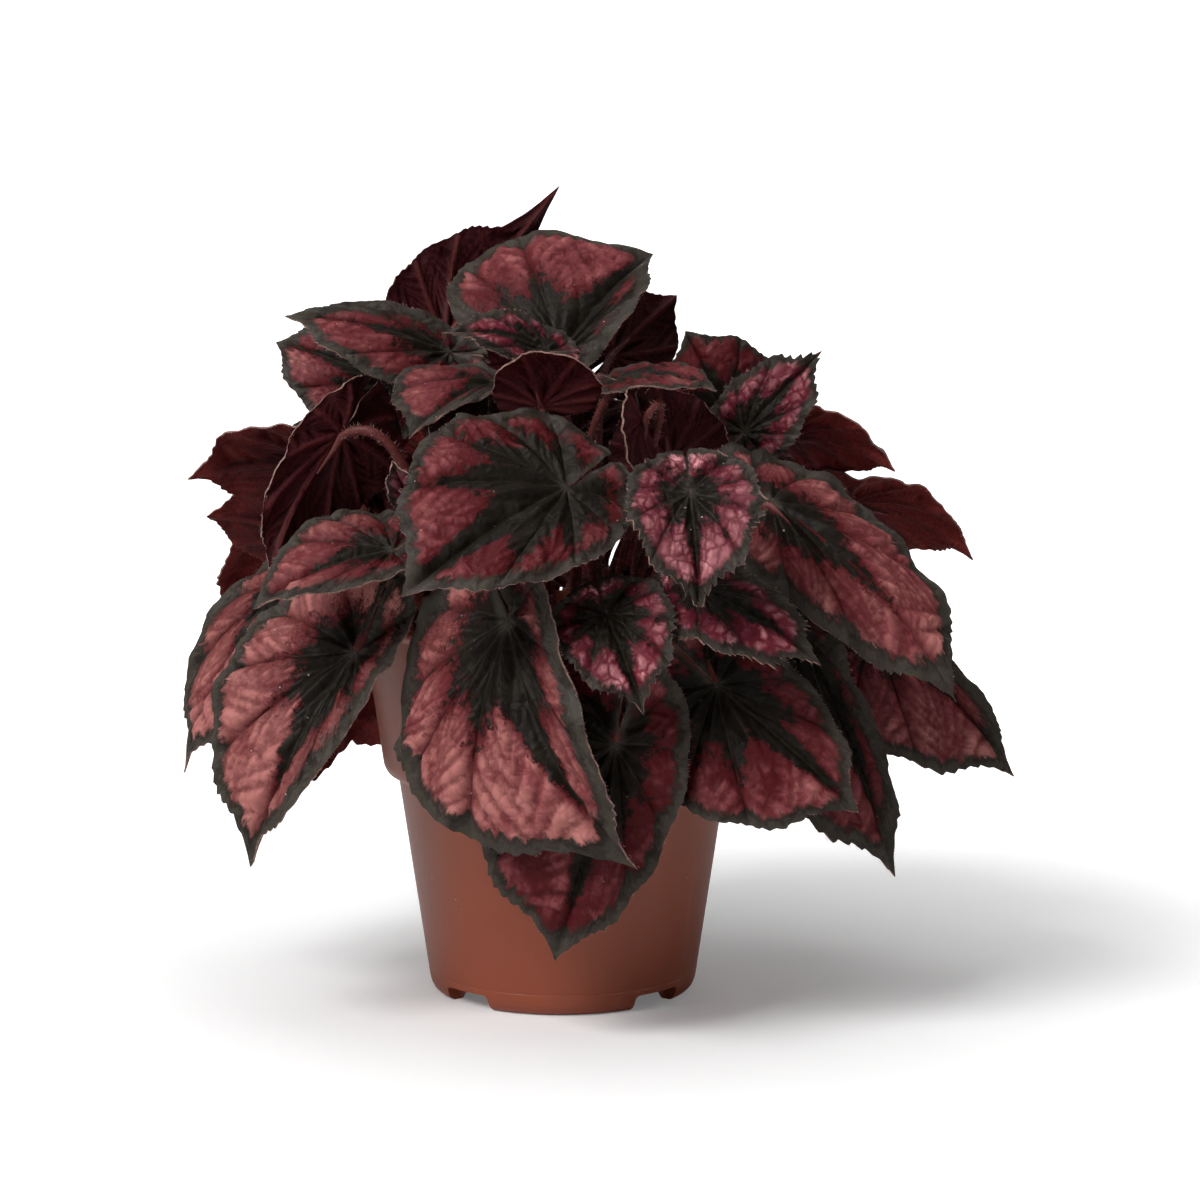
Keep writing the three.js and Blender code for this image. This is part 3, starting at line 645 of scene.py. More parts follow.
def leaf_under(name, wine, rib, glow):
    """The underside: wine red, with paler ribs, a broken net of small veins and a painted glow of light
    shining through it.
    """
    # The lower skin is thinner and duller than the upper one, and the wine-red tissue behind it
    # shows patches of 8 mm. The net of small veins is 2.4 mm wide, the grain 0.9 mm
    wine, rib, glow = linear(wine), linear(rib), linear(glow)
    material, tree, shader = new_material(name)
    flat = add(tree, "UVMap", uv_map="flat")
    grain = add(tree, "TexNoise", {"Vector": flat, "Scale": 1.1, "Detail": 4})
    patches = add(tree, "TexNoise", {"Vector": flat, "Scale": 0.12, "Detail": 3})
    net = add(tree, "TexVoronoi", {"Vector": flat, "Scale": 0.42}, "Distance", **TO_EDGE)
    colour = laid(
        tree, wine,
        # Painted light and shade: the lighter glow, strongest on leaves set paler, stands in for light
        # shining through the leaf, and leaves in shade are set darker
        (glow, uneven(tree, "blush", (patches, 1.0)), 0.3, 1.4),
        (rib, net, 0.08, 0.0, 0.25),
        (rib, uneven(tree, "crease"), 0.55, 0.12, 0.45),
        (rib, uneven(tree, "vein"), 1.0, 0.4, 0.6),
        (wine, grain, 0.6, 0.3, 0.5),
    )
    put(tree, shader, {
        "Base Color": colour,
        "Roughness": 0.55,
        "Specular IOR Level": 0.08,
        "Normal": add(tree, "Bump", {"Height": grain, "Distance": 0.15 * MM, "Strength": 0.6}),
    })
    return material


def plain_skin(name, code, other, roughness, per_metre, relief):
    """A skin of two mottled colours with a fine relief."""
    material, tree, shader = new_material(name)
    where = add(tree, "TexCoord", (), "Object")
    grain = add(tree, "TexNoise", {"Vector": where, "Scale": per_metre, "Detail": 4})
    put(tree, shader, {
        "Base Color": laid(tree, linear(code), (linear(other), grain, 0.35, 0.65)),
        "Roughness": roughness,
        "Specular IOR Level": 0.25,
        "Normal": add(tree, "Bump", {"Height": grain, "Distance": relief * MM, "Strength": 0.6}),
    })
    return material


def leaf_materials(young):
    """The finishes of one leaf: upper skin, underside, edge, stalk and hairs."""
    colours = bpy.context.scene.begonia_leaf_colours
    kind = "young" if young else "grown"
    upper, under, edge, stalk, hair = names = (
        f"leaf_upper_{kind}", f"leaf_under_{kind}", "leaf_edge", "leaf_stalk", "leaf_hair")
    if upper not in bpy.data.materials:
        own = ("young_pale", "young_pink", "young_crimson") if young else ("pale", "pink", "crimson")
        codes = [getattr(colours, part) for part in (*own, "dark", "vein_green", "margin")]
        leaf_upper(upper, codes, **(YOUNG_SKIN if young else GROWN_SKIN))
        leaf_under(under, colours.wine, colours.rib, colours.wine_light)
    if edge not in bpy.data.materials:
        # The cut of a blade is dry, thin tissue: a pale dull line round the leaf, mottled at 1.1 mm
        plain_skin(edge, colours.edge, "#6b4d46", roughness=0.6, per_metre=900, relief=0.05)
        # A stalk is a juicy stem with a fine skin: red-brown, mottled at 1.4 mm, with a soft shine
        plain_skin(stalk, colours.stalk, "#4a1c1c", roughness=0.5, per_metre=700, relief=0.1)
        # A hair is a dry, clear thread that catches the light; its colour varies from hair to hair
        plain_skin(hair, colours.hair, "#a5807a", roughness=0.6, per_metre=400, relief=0.02)
    return [bpy.data.materials[name] for name in names]


# Leaves


def parameter_grid(columns, rows, fine_from):
    """A grid whose width is the turn and whose height is the way out from the stalk.
    Its faces are halved twice towards the edge, where the blade is widest."""
    made = started(
        bpy.ops.mesh.primitive_grid_add, x_subdivisions=columns, y_subdivisions=rows, size=2)
    bpy.ops.object.mode_set(mode="EDIT")
    for height in fine_from:
        pick(made, "FACE", lambda face: face.calc_center_median().y > height)
        bpy.ops.mesh.subdivide(number_cuts=1)
    bpy.ops.object.mode_set(mode="OBJECT")
    return made


def blade_grid(leaf, sizes):
    """The grid for one blade, and each corner's place across it and share of the reach."""
    edge_length = np.linalg.norm(np.diff(edge_line(leaf), axis=0), axis=1).sum()
    width = sizes.cell * (0.6 + 0.4 * leaf.length / LARGE_LEAF)
    # Halved twice, a first face is as wide as four at the edge
    coarse_width = 4 * width
    columns = round(edge_length / coarse_width)
    middle_rows = 3 if leaf.length > LONG_LEAF else 2
    outer_rows = max(2, round(LAST_BAND * leaf.length / (FACE_HEIGHT * coarse_width)))
    rows = INNER_ROWS + middle_rows + outer_rows
    heights = [2 * INNER_ROWS / rows - 1, 2 * (INNER_ROWS + middle_rows) / rows - 1]
    made = parameter_grid(columns, rows, heights)
    place = corner_values(made.data, "co")
    across = np.clip(-place[:, 0], -1, 1)
    share = np.interp(place[:, 1], [-1, *heights, 1], [0, *HALVED_FROM, 1])
    return made, across, share


def blade_corners(leaf, sizes, across, share):
    """What is known at each corner: its place, how far it is from veins and edge, and its unevenness."""
    at = SimpleNamespace(across=across, share=share, turn=column_turn(across))
    at.flat = flat_points(leaf, at.turn, share)
    mains, branches = vein_network(leaf)
    at.vein = nearest(at.flat, mains)
    at.crease = np.minimum(nearest(at.flat, branches), at.vein)
    at.rim = nearest(at.flat, edge_line(leaf))
    at.notch = nearest(at.flat, notch_line(leaf))
    width = sizes.pillow_width * (0.4 + 0.6 * leaf.length / LARGE_LEAF)
    at.pillow = 1 - np.exp(-((at.crease / width) ** 1.4))
    at.puckers = puckers(leaf, at.flat)
    return at


def blade_relief(leaf, sizes, at):
    """How far folds, quilting and ruffles lift each corner off the leaf's plain form, in millimetres."""
    small = leaf.length / LARGE_LEAF
    folds = 1 - np.exp(-at.vein / (sizes.fold_width * (0.4 + 0.6 * small)))
    quilted = at.pillow * (1 + 0.35 * at.puckers)
    relief = sizes.fold_height * folds + sizes.quilt_height * quilted
    # Laid evenly about the plain form, and flatter at the stalk and at the edge
    relief -= np.average(relief, weights=at.share)
    fade = np.clip(at.share / 0.15, 0, 1) * np.clip(at.rim / (0.05 * leaf.length), 0.25, 1)
    ruffle = np.sin(19 * at.turn + leaf.number) + 1.3 * np.sin(11 * at.turn + 2 * leaf.number)
    ruffle = RUFFLE_HEIGHT * leaf.length * at.share**5 * ruffle
    return (0.35 + 0.65 * small) * fade * relief + ruffle


def mark_skins(mesh, leaf, sizes, at):
    """Keeps what the skins' materials read at each corner: how far it lies inside the star and the margin
    and how far from veins and creases, in millimetres, and how pale the red zone is there, with painted
    light and shade that make it paler on the quilting's rises and darker in its hollows."""
    core, arm, arm_width = YOUNG_STAR if leaf.young else GROWN_STAR
    margin_share = YOUNG_MARGIN_SHARE if leaf.young else sizes.margin_share
    arms = np.exp(-((at.vein / (arm_width * leaf.length + 0.8)) ** 2))
    midrib = MIDRIB_ARM * np.exp(-((at.turn / 0.25) ** 2))
    reach = outline(leaf, at.turn) * leaf.length
    star_share = leaf.star * (core + (arm + midrib) * arms)
    star = (star_share - at.share) * np.maximum(reach, 0.4 * leaf.length)
    margin_width = leaf.margin * leaf.length * margin_share
    margin_width = margin_width * (1 + 0.5 * np.exp(-((at.vein / 2.0) ** 2)))
    margin = margin_width - np.minimum(at.rim, 1.6 * at.notch + 1)
    blush = leaf.blush + 0.35 * (at.share - 0.6) - 0.45 * np.exp(-np.maximum(-star, 0) / 3)
    # Painted light and shade: paler where the quilting and puckers rise, darker where they sink
    blush = blush + 0.2 * (at.pillow - 0.5) + 0.1 * at.puckers
    marks = {"star": star, "margin": margin, "vein": at.vein, "crease": at.crease, "blush": blush}
    for name, values in marks.items():
        store(mesh, name, values)


def blade_object(leaf, sizes):
    """The blade: a grid laid on the leaf's form, quilted between its veins, and given its thickness."""
    made, across, share = blade_grid(leaf, sizes)
    mesh = made.data
    at = blade_corners(leaf, sizes, across, share)
    points = blade_points(leaf, at.turn, share, edge_teeth(leaf, across) * share**8)
    put_coordinates(mesh, AXIS + points * MM)
    lift_corners(mesh, blade_relief(leaf, sizes, at))
    mark_skins(mesh, leaf, sizes, at)
    # Each leaf reads the patterns at another place. Strokes are drawn out three times along the veins
    elsewhere = 211.0 * leaf.number
    write_uv(mesh, "flat", at.flat + elsewhere)
    streaky = [at.turn * 0.42 * leaf.length + elsewhere, share * 0.14 * leaf.length]
    write_uv(mesh, "streaky", np.stack(streaky, -1))
    merge_corners(made)
    for material in leaf_materials(leaf.young)[:3]:
        mesh.materials.append(material)
    skin_count = len(mesh.vertices)
    apply_modifier(made, "SOLIDIFY", thickness=sizes.thickness * MM, offset=0,
                   material_offset=1, material_offset_rim=2)
    raise_ribs(made.data, skin_count, leaf)
    return made


def write_uv(mesh, name, places):
    """Stores a pair of numbers at each corner as a UV map."""
    loops = np.empty(len(mesh.loops), int)
    mesh.loops.foreach_get("vertex_index", loops)
    layer = mesh.uv_layers.new(name=name)
    layer.data.foreach_set("uv", places[loops].astype(np.float32).ravel())


def raise_ribs(mesh, skin_count, leaf):
    """Lifts the veins off the underside, whose corners follow those of the upper skin."""
    at = {}
    for name in ("vein", "crease", "margin"):
        at[name] = np.empty(len(mesh.vertices))
        mesh.attributes[name].data.foreach_get("value", at[name])
    small = leaf.length / LARGE_LEAF

    def ridge(name, high, half_width):
        return high * small * np.exp(-((at[name] / half_width) ** 2))

    height = np.maximum(ridge("vein", *MAIN_RIB), ridge("crease", *SIDE_RIB))
    height *= np.clip(-at["margin"] / 3 + 0.6, 0, 1)
    height[:skin_count] = 0
    lift_corners(mesh, height)


def stalk_path(leaf, steps):
    """The stalk's route and radii, up out of the compost, round to the hub and on under the midrib."""
    x, y = leaf.root
    root = np.array([x, y, SOIL_TOP - STALK_DEPTH], float)
    lean = unit(np.array([x * OUTWARD_LEAN, y * OUTWARD_LEAN, 1.0]))
    # A stalk that climbs over the rim comes down to its hub, the others come in from behind
    steep = np.array([0, 0, -0.7]) if leaf.climb else leaf.face * 1.3
    arrive = unit(leaf.along + steep)

    def under(share, depth):
        point = blade_points(leaf, np.zeros(1), np.full(1, share))[0]
        return point - leaf.face * depth * leaf.stalk_radius

    hub = under(HUB_SHARE, HUB_DEPTH)
    span = np.linalg.norm(root - hub)
    rise = max(span * STALK_RISE, leaf.climb)
    turn_in = max(span * leaf.reach, leaf.climb * CLIMB_TURN_IN)
    behind = leaf.face * turn_in * (BEHIND_BLADE if leaf.climb else 0)
    corners = root, root + lean * rise, hub - arrive * turn_in - behind, hub
    t = np.linspace(0, 1, steps)[:, None]
    weights = (1 - t) ** 3, 3 * t * (1 - t) ** 2, 3 * t**2 * (1 - t), t**3
    curve = sum(weight * corner for weight, corner in zip(weights, corners))
    radii = leaf.stalk_radius * (1 + FOOT_SWELL * (1 - t[:, 0]))
    keel = [under(share, depth) for share, depth, _ in KEEL]
    keel_radii = leaf.stalk_radius * np.array([thickness for *_, thickness in KEEL])
    return np.vstack([curve, keel]), np.concatenate([radii, keel_radii])


def moving_axes(points):
    """At each point of a route: the way ahead, and two ways across that don't twist."""
    ahead = unit(np.gradient(points, axis=0))
    across = np.zeros_like(points)
    last = np.array([1.0, 0.0, 0.0])
    for i, forward in enumerate(ahead):
        last = unit(last - (last @ forward) * forward)
        across[i] = last
    return ahead, across, np.cross(ahead, across)


def stalk_object(leaf, sizes):
    """The stalk: a cylinder cut into rings, whose rings are moved onto the route."""
    points, radii = stalk_path(leaf, sizes.stalk_steps)
    steps = len(points) - 1
    made = started(
        bpy.ops.mesh.primitive_cylinder_add, vertices=sizes.stalk_sides, radius=1, depth=2)
    bpy.ops.object.mode_set(mode="EDIT")
    pick(made, "EDGE", lambda edge: abs(edge.verts[0].co.z - edge.verts[1].co.z) > 1)
    bpy.ops.mesh.subdivide(number_cuts=steps - 1)
    bpy.ops.object.mode_set(mode="OBJECT")
    place = corner_values(made.data, "co")
    _, across, second = moving_axes(points)
    step = np.clip(np.rint((place[:, 2] + 1) / 2 * steps).astype(int), 0, steps)
    angle = np.arctan2(place[:, 1], place[:, 0])
    # Three soft ridges wind slowly round the stalk, hardly proud of the solid's one
    ridged = 1 + 0.05 * np.sin(3 * angle + 0.2 * step) + 0.03 * np.sin(0.9 * step + leaf.number)
    round_about = across[step] * place[:, :1] + second[step] * place[:, 1:2]
    moved = points[step] + round_about * (RIDGED_SHARE * radii[step] * ridged)[:, None]
    put_coordinates(made.data, AXIS + moved * MM)
    made.data.materials.append(leaf_materials(leaf.young)[3])
    return made


def hair_mesh(roots, ways, lengths, radius, material):
    """Hairs as fine three-sided cones: one cone primitive, copied to every root."""
    made = started(
        bpy.ops.mesh.primitive_cone_add, vertices=3, radius1=1, radius2=0, depth=1)
    cone = corner_values(made.data, "co") + np.array([0, 0, 0.5])
    faces = np.array([list(face.vertices) for face in made.data.polygons])
    ways = unit(ways)
    helper = np.where(np.abs(ways[:, 2:3]) < 0.9, [[0.0, 0.0, 1.0]], [[1.0, 0.0, 0.0]])
    first = unit(np.cross(ways, helper))
    second = np.cross(ways, first)
    corners = (
        roots[:, None, :]
        + first[:, None, :] * (cone[None, :, 0:1] * radius)
        + second[:, None, :] * (cone[None, :, 1:2] * radius)
        + ways[:, None, :] * (cone[None, :, 2:3] * lengths[:, None, None])
    )
    steps = np.arange(len(roots))[:, None, None] * len(cone)
    copied(made, "hairs", corners.reshape(-1, 3), (faces[None] + steps).reshape(-1, 3), material)
    return made


def leaf_hairs(leaf, sizes):
    """Fine hairs: along the edge of the blade, and all over the stalk above the compost."""
    chance = leaf.chance
    edge_count = int(COUNTED_EDGE * leaf.length / sizes.edge_hair_gap)
    across = np.sort(chance.uniform(-0.995, 0.995, edge_count))
    turn = column_turn(across)
    toothed = edge_teeth(leaf, across)
    edge = blade_points(leaf, turn, np.ones(edge_count), toothed)
    inside = blade_points(leaf, turn, np.full(edge_count, 0.95), toothed)
    edge_ways = unit(edge - inside) + chance.normal(0, 0.35, (edge_count, 3))
    route, radii = stalk_path(leaf, ROUTE_STEPS)
    ahead, first, second = moving_axes(route)
    stalk_count = int(sizes.stalk_hairs * np.linalg.norm(np.diff(route, axis=0), axis=1).sum())
    place = chance.integers(BURIED_STEPS, ROUTE_STEPS, stalk_count)
    angle = chance.uniform(0, math.tau, stalk_count)[:, None]
    out = first[place] * np.cos(angle) + second[place] * np.sin(angle)
    roots = route[place] + out * (0.9 * radii[place])[:, None]
    roots += ahead[place] * chance.uniform(-0.7, 0.7, stalk_count)[:, None]
    stalk_ways = out + ahead[place] * chance.uniform(-0.1, 0.5, stalk_count)[:, None]
    lengths = chance.uniform(*EDGE_HAIRS, edge_count), chance.uniform(*STALK_HAIRS, stalk_count)
    lengths = np.concatenate(lengths) * sizes.hair_length
    starts = np.vstack([edge, roots])
    ways = np.vstack([edge_ways, stalk_ways])
    return hair_mesh(starts, ways, lengths, sizes.hair_radius, leaf_materials(leaf.young)[4])


def make_leaf(leaf):
    """One leaf as one piece: blade, stalk and hairs."""
    sizes = bpy.context.scene.begonia_leaf_sizes
    blade = blade_object(leaf, sizes)
    stalk = stalk_object(leaf, sizes)
    hairs = leaf_hairs(leaf, sizes)
    bpy.ops.object.select_all(action="DESELECT")
    for piece in (stalk, hairs, blade):
        piece.select_set(True)
    bpy.context.view_layer.objects.active = blade
    bpy.ops.object.join()
    alone(blade)
    bpy.ops.object.shade_smooth_by_angle(angle=math.radians(SMOOTH_LEAF))
    finish_piece(blade, leaf.name.replace("leaf_", "begonia_leaf_"), [leaf.name])


# Pot and compost

# In millimetres: the floor's height, the drain holes in it, and the notches between the feet
POT_FLOOR = 5.5
DRAIN_CIRCLE = 24
DRAIN_RADIUS = 3
DRAIN_LENGTH = 8
NOTCH_LENGTH = 12
NOTCH_ROUNDING = 1.6
CORNER_ROUNDING = 0.8

# The compost, in millimetres: the lumps that roughen its top as a number and their lengths, and
# crumbs and perlite as a number and the least and greatest radius of a grain
LUMPS = 40, (2.0, 11.0)
CRUMBS = 520, (0.5, 1.7)
PERLITE = 70, (0.5, 1.3)


def rounded(section, radius, steps=4):
    """A section of radii and heights with its inner corners rounded off."""
    points = [np.array(section[0], float)]
    for before, corner, after in zip(section, section[1:], section[2:]):
        before, corner, after = (np.array(p, float) for p in (before, corner, after))
        back, on = before - corner, after - corner
        reach = min(radius, 0.45 * np.linalg.norm(back), 0.45 * np.linalg.norm(on))
        start, end = corner + unit(back) * reach, corner + unit(on) * reach
        for t in np.linspace(0, 1, steps):
            points.append((1 - t) ** 2 * start + 2 * t * (1 - t) * corner + t**2 * end)
    points.append(np.array(section[-1], float))
    return points


def turned_shell(section, sides):
    """A closed shell turned about the pot's axis, its rings extruded one after another from a disc."""
    x, y, _ = AXIS
    radius, height = section[0] * MM
    made = started(
        bpy.ops.mesh.primitive_circle_add, vertices=sides, radius=radius, fill_type="NGON",
        location=(x, y, height))
    bpy.ops.object.transform_apply(location=True, rotation=True, scale=True)
    bpy.ops.object.mode_set(mode="EDIT")
    bpy.ops.mesh.select_mode(type="FACE")
    bpy.ops.mesh.select_all(action="SELECT")
    for radius, height in section[1:]:
        bpy.ops.mesh.extrude_region_move()
        shell = bmesh.from_edit_mesh(made.data)
        for vertex in shell.verts:
            if vertex.select:
                way = Vector((vertex.co.x - x, vertex.co.y - y)).normalized() * radius * MM
                vertex.co = (x + way.x, y + way.y, height * MM)
        bmesh.update_edit_mesh(made.data)
    bpy.ops.mesh.select_all(action="SELECT")
    bpy.ops.mesh.normals_make_consistent(inside=False)
    bpy.ops.object.mode_set(mode="OBJECT")
    return made


def cut_away(made, cutters):
    """Takes other shapes out of a piece."""
    for cutter in cutters:
        apply_modifier(made, "BOOLEAN", operation="DIFFERENCE", solver="EXACT", object=cutter)
        bpy.data.objects.remove(cutter)


def from_axis(angle, radius, height):
    """The place at a turn and a distance from the pot's axis."""
    return AXIS[0] + radius * math.cos(angle), AXIS[1] + radius * math.sin(angle), height


def notch_cutter(angle, radius, sizes):
    """The block that a drain notch leaves, with rounded corners."""
    made = started(
        bpy.ops.mesh.primitive_cube_add, size=1, location=from_axis(angle, radius, 0),
        rotation=(0, 0, angle))
    made.scale = (NOTCH_LENGTH * MM, sizes.notch_width, 2 * sizes.notch_height)
    bpy.ops.object.transform_apply(location=True, rotation=True, scale=True)
    bpy.ops.object.mode_set(mode="EDIT")
    bpy.ops.mesh.select_all(action="SELECT")
    bpy.ops.mesh.bevel(offset=NOTCH_ROUNDING * MM, segments=4, affect="EDGES")
    bpy.ops.object.mode_set(mode="OBJECT")
    return made


def drain_cutter(angle, radius, height):
    """The rod that a drain hole leaves."""
    made = started(
        bpy.ops.mesh.primitive_cylinder_add, vertices=32, radius=DRAIN_RADIUS * MM,
        depth=DRAIN_LENGTH * MM, location=from_axis(angle, radius, height))
    bpy.ops.object.transform_apply(location=True, rotation=True, scale=True)
    return made


def pot_material(sizes):
    """The pot's plastic, with a little lime and compost dust on it."""
    # Injection-moulded polypropylene in terracotta: satin, its colour faintly mottled in the upright
    # flow of the melt, in strokes 17 mm wide and 110 mm tall. The mould's own grain, 0.1 mm, is too
    # fine to show, so it is drawn at 1 mm. Specks of dust lie about 7 mm apart
    material, tree, shader = new_material("moulded_polypropylene")
    where = add(tree, "TexCoord", (), "Object")
    broad = add(tree, "TexNoise", {"Vector": where, "Scale": 22, "Detail": 3})
    fine = add(tree, "TexNoise", {"Vector": where, "Scale": 900, "Detail": 4})
    upright = add(tree, "Mapping", {"Vector": where, "Scale": (60, 60, 9)})
    flow = add(tree, "TexNoise", {"Vector": upright, "Scale": 1, "Detail": 4})
    dust = add(tree, "TexVoronoi", {"Vector": where, "Scale": 150}, "Distance")
    colour = laid(
        tree, linear(sizes.colour),
        (linear(sizes.worn_colour), broad, 0.3, 0.7),
        (linear(sizes.dusty_colour), flow, 0.55, 0.8),
        (linear("#c7a592"), dust, 0.04, 0.025),
    )
    height = add(tree, "Math", {0: flow, 1: 1.5, 2: fine}, operation="MULTIPLY_ADD")
    put(tree, shader, {
        "Base Color": colour,
        "Roughness": add(tree, "MapRange", {0: flow, 3: 0.36, 4: 0.5}),
        "Normal": add(tree, "Bump", {"Height": height, "Distance": 0.04 * MM, "Strength": 0.5}),
    })
    return material


def compost_material():
    """Moist peat compost: dull, nearly black, its fibres lighter than the crumbs."""
    # Damp crumbs swallow the light; only the dry fibres on top catch it. Crumbs are about 2.4 mm
    material, tree, shader = new_material("moist_compost")
    where = add(tree, "TexCoord", (), "Object")
    crumbs = add(tree, "TexNoise", {"Vector": where, "Scale": 420, "Detail": 5, "Roughness": 0.7})
    put(tree, shader, {
        "Base Color": laid(tree, linear("#120c08"), (linear("#3a281b"), crumbs, 0.4, 0.68)),
        "Roughness": 0.93,
        "Normal": add(tree, "Bump", {"Height": crumbs, "Distance": 1.2 * MM}),
    })
    return material


def perlite_material():
    """Perlite: chalky white grains, full of pores."""
    # Volcanic glass popped by heat, like crumbs of chalk: dull white, with dark pores of 0.6 mm
    material, tree, shader = new_material("popped_perlite")
    where = add(tree, "TexCoord", (), "Object")
    pores = add(tree, "TexNoise", {"Vector": where, "Scale": 1600, "Detail": 4})
    put(tree, shader, {
        "Base Color": laid(tree, linear("#8f877c"), (linear("#d8d2c6"), pores, 0.3, 0.6)),
        "Roughness": 0.9,
        "Normal": add(tree, "Bump", {"Height": pores, "Distance": 0.3 * MM}),
    })
    return material


def pot_section(sizes):
    """Half of the pot's section, from the middle of its underside round to the middle of its floor."""
    to_mm = 1 / MM
    rim, height = sizes.rim_radius * to_mm, sizes.height * to_mm
    wall, base = sizes.wall * to_mm, sizes.base_radius * to_mm
    # The collar tapers to its foot, where a step leads in to the body
    lip, collar_top, collar_foot, collar_height = 3.5, rim - 1.2, 53, 70
    body_top, body_height = 48.3, 63.5
    at_lip = collar_top - (collar_top - collar_foot) * lip / (height - collar_height)
    # A fine groove runs round the body just above the feet
    foot_edge = base + 0.3
    slope = (body_top - base - 0.3) / (body_height - 3)
    groove = 6.4
    at_groove = base + 0.3 + slope * (groove - 3)
    return [
        (DRAIN_CIRCLE, POT_FLOOR), (base - 6, POT_FLOOR), (base - 5, 0), (base - 2, 0), (base - 0.6, 1),
        (foot_edge, 3), (at_groove - 0.02, groove - 0.3), (at_groove - 0.16, groove),
        (at_groove + 0.04, groove + 0.3), (body_top, body_height),
        (collar_foot - wall, body_height + 1.6), (collar_foot - 0.3 * wall, body_height + 3.6),
        (collar_foot, collar_height), (at_lip, height - lip), (rim, height - lip + 0.8),
        (rim, height - 0.8), (rim - 0.8, height), (collar_top - wall, height),
        (collar_top - wall - 0.2, height - 0.6), (collar_foot - wall, collar_height),
        (body_top - wall, body_height + wall), (base - wall, POT_FLOOR + 1.6),
        (DRAIN_CIRCLE + 2, POT_FLOOR + 1.6),
    ]


def make_pot():
    """The nursery pot, turned, with its drain notches and holes cut away."""
    sizes = bpy.context.scene.begonia_pot
    pot = turned_shell(rounded(pot_section(sizes), CORNER_ROUNDING), sizes.sides)
    quarter = math.pi / 2
    cutters = [notch_cutter(quarter / 2 + i * quarter, sizes.base_radius, sizes) for i in range(4)]
    cutters += [drain_cutter(i * quarter, DRAIN_CIRCLE * MM, POT_FLOOR * MM) for i in range(4)]
    cut_away(pot, cutters)
    pot.data.materials.clear()
    pot.data.materials.append(pot_material(sizes))
    alone(pot)
    bpy.ops.object.shade_smooth_by_angle(angle=math.radians(SMOOTH_POT))
    finish_piece(pot, "nursery_pot", ["pot"])


def make_compost():
    """The compost: one lumpy plug that fills the pot, with loose crumbs and perlite on top."""
    chance = np.random.default_rng(7)
    plug = started(bpy.ops.mesh.primitive_grid_add, x_subdivisions=150, y_subdivisions=72, size=2)
    place = corner_values(plug.data, "co")
    angle = math.pi * place[:, 0]
    way = (place[:, 1] + 1) / 2
    top = SOIL_HIGH.z / MM
    top_radius = (SOIL_HIGH.x - SOIL_LOW.x) / 2 / MM
    low = SOIL_LOW.z / MM
    # Half of the plug's section: the share of the grid's height, then the radius and height there
    section = np.array([
        (0, 0, top), (0.55, 0.8 * top_radius, top - 1.2), (0.7, top_radius, top - 3),
        (0.85, 46.4, 65), (0.95, 37, low), (1, 0, low),
    ])
    radius = np.interp(way, section[:, 0], section[:, 1])
    height = np.interp(way, section[:, 0], section[:, 2])
    x, y = radius * np.cos(angle), radius * np.sin(angle)
    lumps = np.zeros(len(x))
    count, lengths = LUMPS
    for _ in range(count):
        turn, phase = chance.uniform(0, math.tau, 2)
        length = chance.uniform(*lengths)
        along = x * math.cos(turn) + y * math.sin(turn)
        lumps += 0.06 * length * np.sin(math.tau * along / length + phase)
    on_top = np.clip((0.68 - way) / 0.05, 0, 1)
    height -= on_top * (0.9 + 0.35 * np.abs(lumps))
    put_coordinates(plug.data, AXIS + np.stack([x, y, height], -1) * MM)
    merge_corners(plug)
    bpy.ops.object.mode_set(mode="EDIT")
    bpy.ops.mesh.normals_make_consistent(inside=False)
    bpy.ops.object.mode_set(mode="OBJECT")
    plug.data.materials.append(compost_material())
    bpy.ops.object.shade_smooth()
    finish_piece(plug, "compost_plug", ["soil"])
    scatter_grains("compost_crumbs", *CRUMBS, plug.data.materials[0], chance, top, top_radius)
    scatter_grains("perlite_grains", *PERLITE, perlite_material(), chance, top, top_radius)


def scatter_grains(name, count, sizes, material, chance, top, top_radius):
    """Loose grains on the compost: one small faceted ball, copied, squashed and turned."""
    made = started(bpy.ops.mesh.primitive_ico_sphere_add, subdivisions=1, radius=1)
    ball = corner_values(made.data, "co")
    faces = np.array([list(face.vertices) for face in made.data.polygons])
    corners, all_faces = [], []
    for i in range(count):
        angle = chance.uniform(0, math.tau)
        distance = (top_radius - 2) * math.sqrt(chance.uniform(0, 1))
        size = chance.uniform(*sizes) * chance.uniform(0.6, 1.1, 3)
        spin = np.linalg.qr(chance.normal(0, 1, (3, 3)))[0]
        lump = (ball * (1 + chance.uniform(-0.2, 0.2, (len(ball), 1)))) @ spin * size
        height = top - 1.9 - 1.5 * (distance / top_radius) ** 4
        corners.append(lump + (distance * math.cos(angle), distance * math.sin(angle), height))
        all_faces.append(faces + i * len(ball))
    copied(made, name, np.vstack(corners), np.vstack(all_faces), material)
    alone(made)
    bpy.ops.object.shade_smooth_by_angle(angle=math.radians(SMOOTH_GRAIN))
    finish_piece(made, name)


# Stage

# The paper, in metres: its size, the height to which it rises behind, and the bend between
FLOOR_SIZE = 6
WALL_HEIGHT = 4
WALL_BEND = 1.6


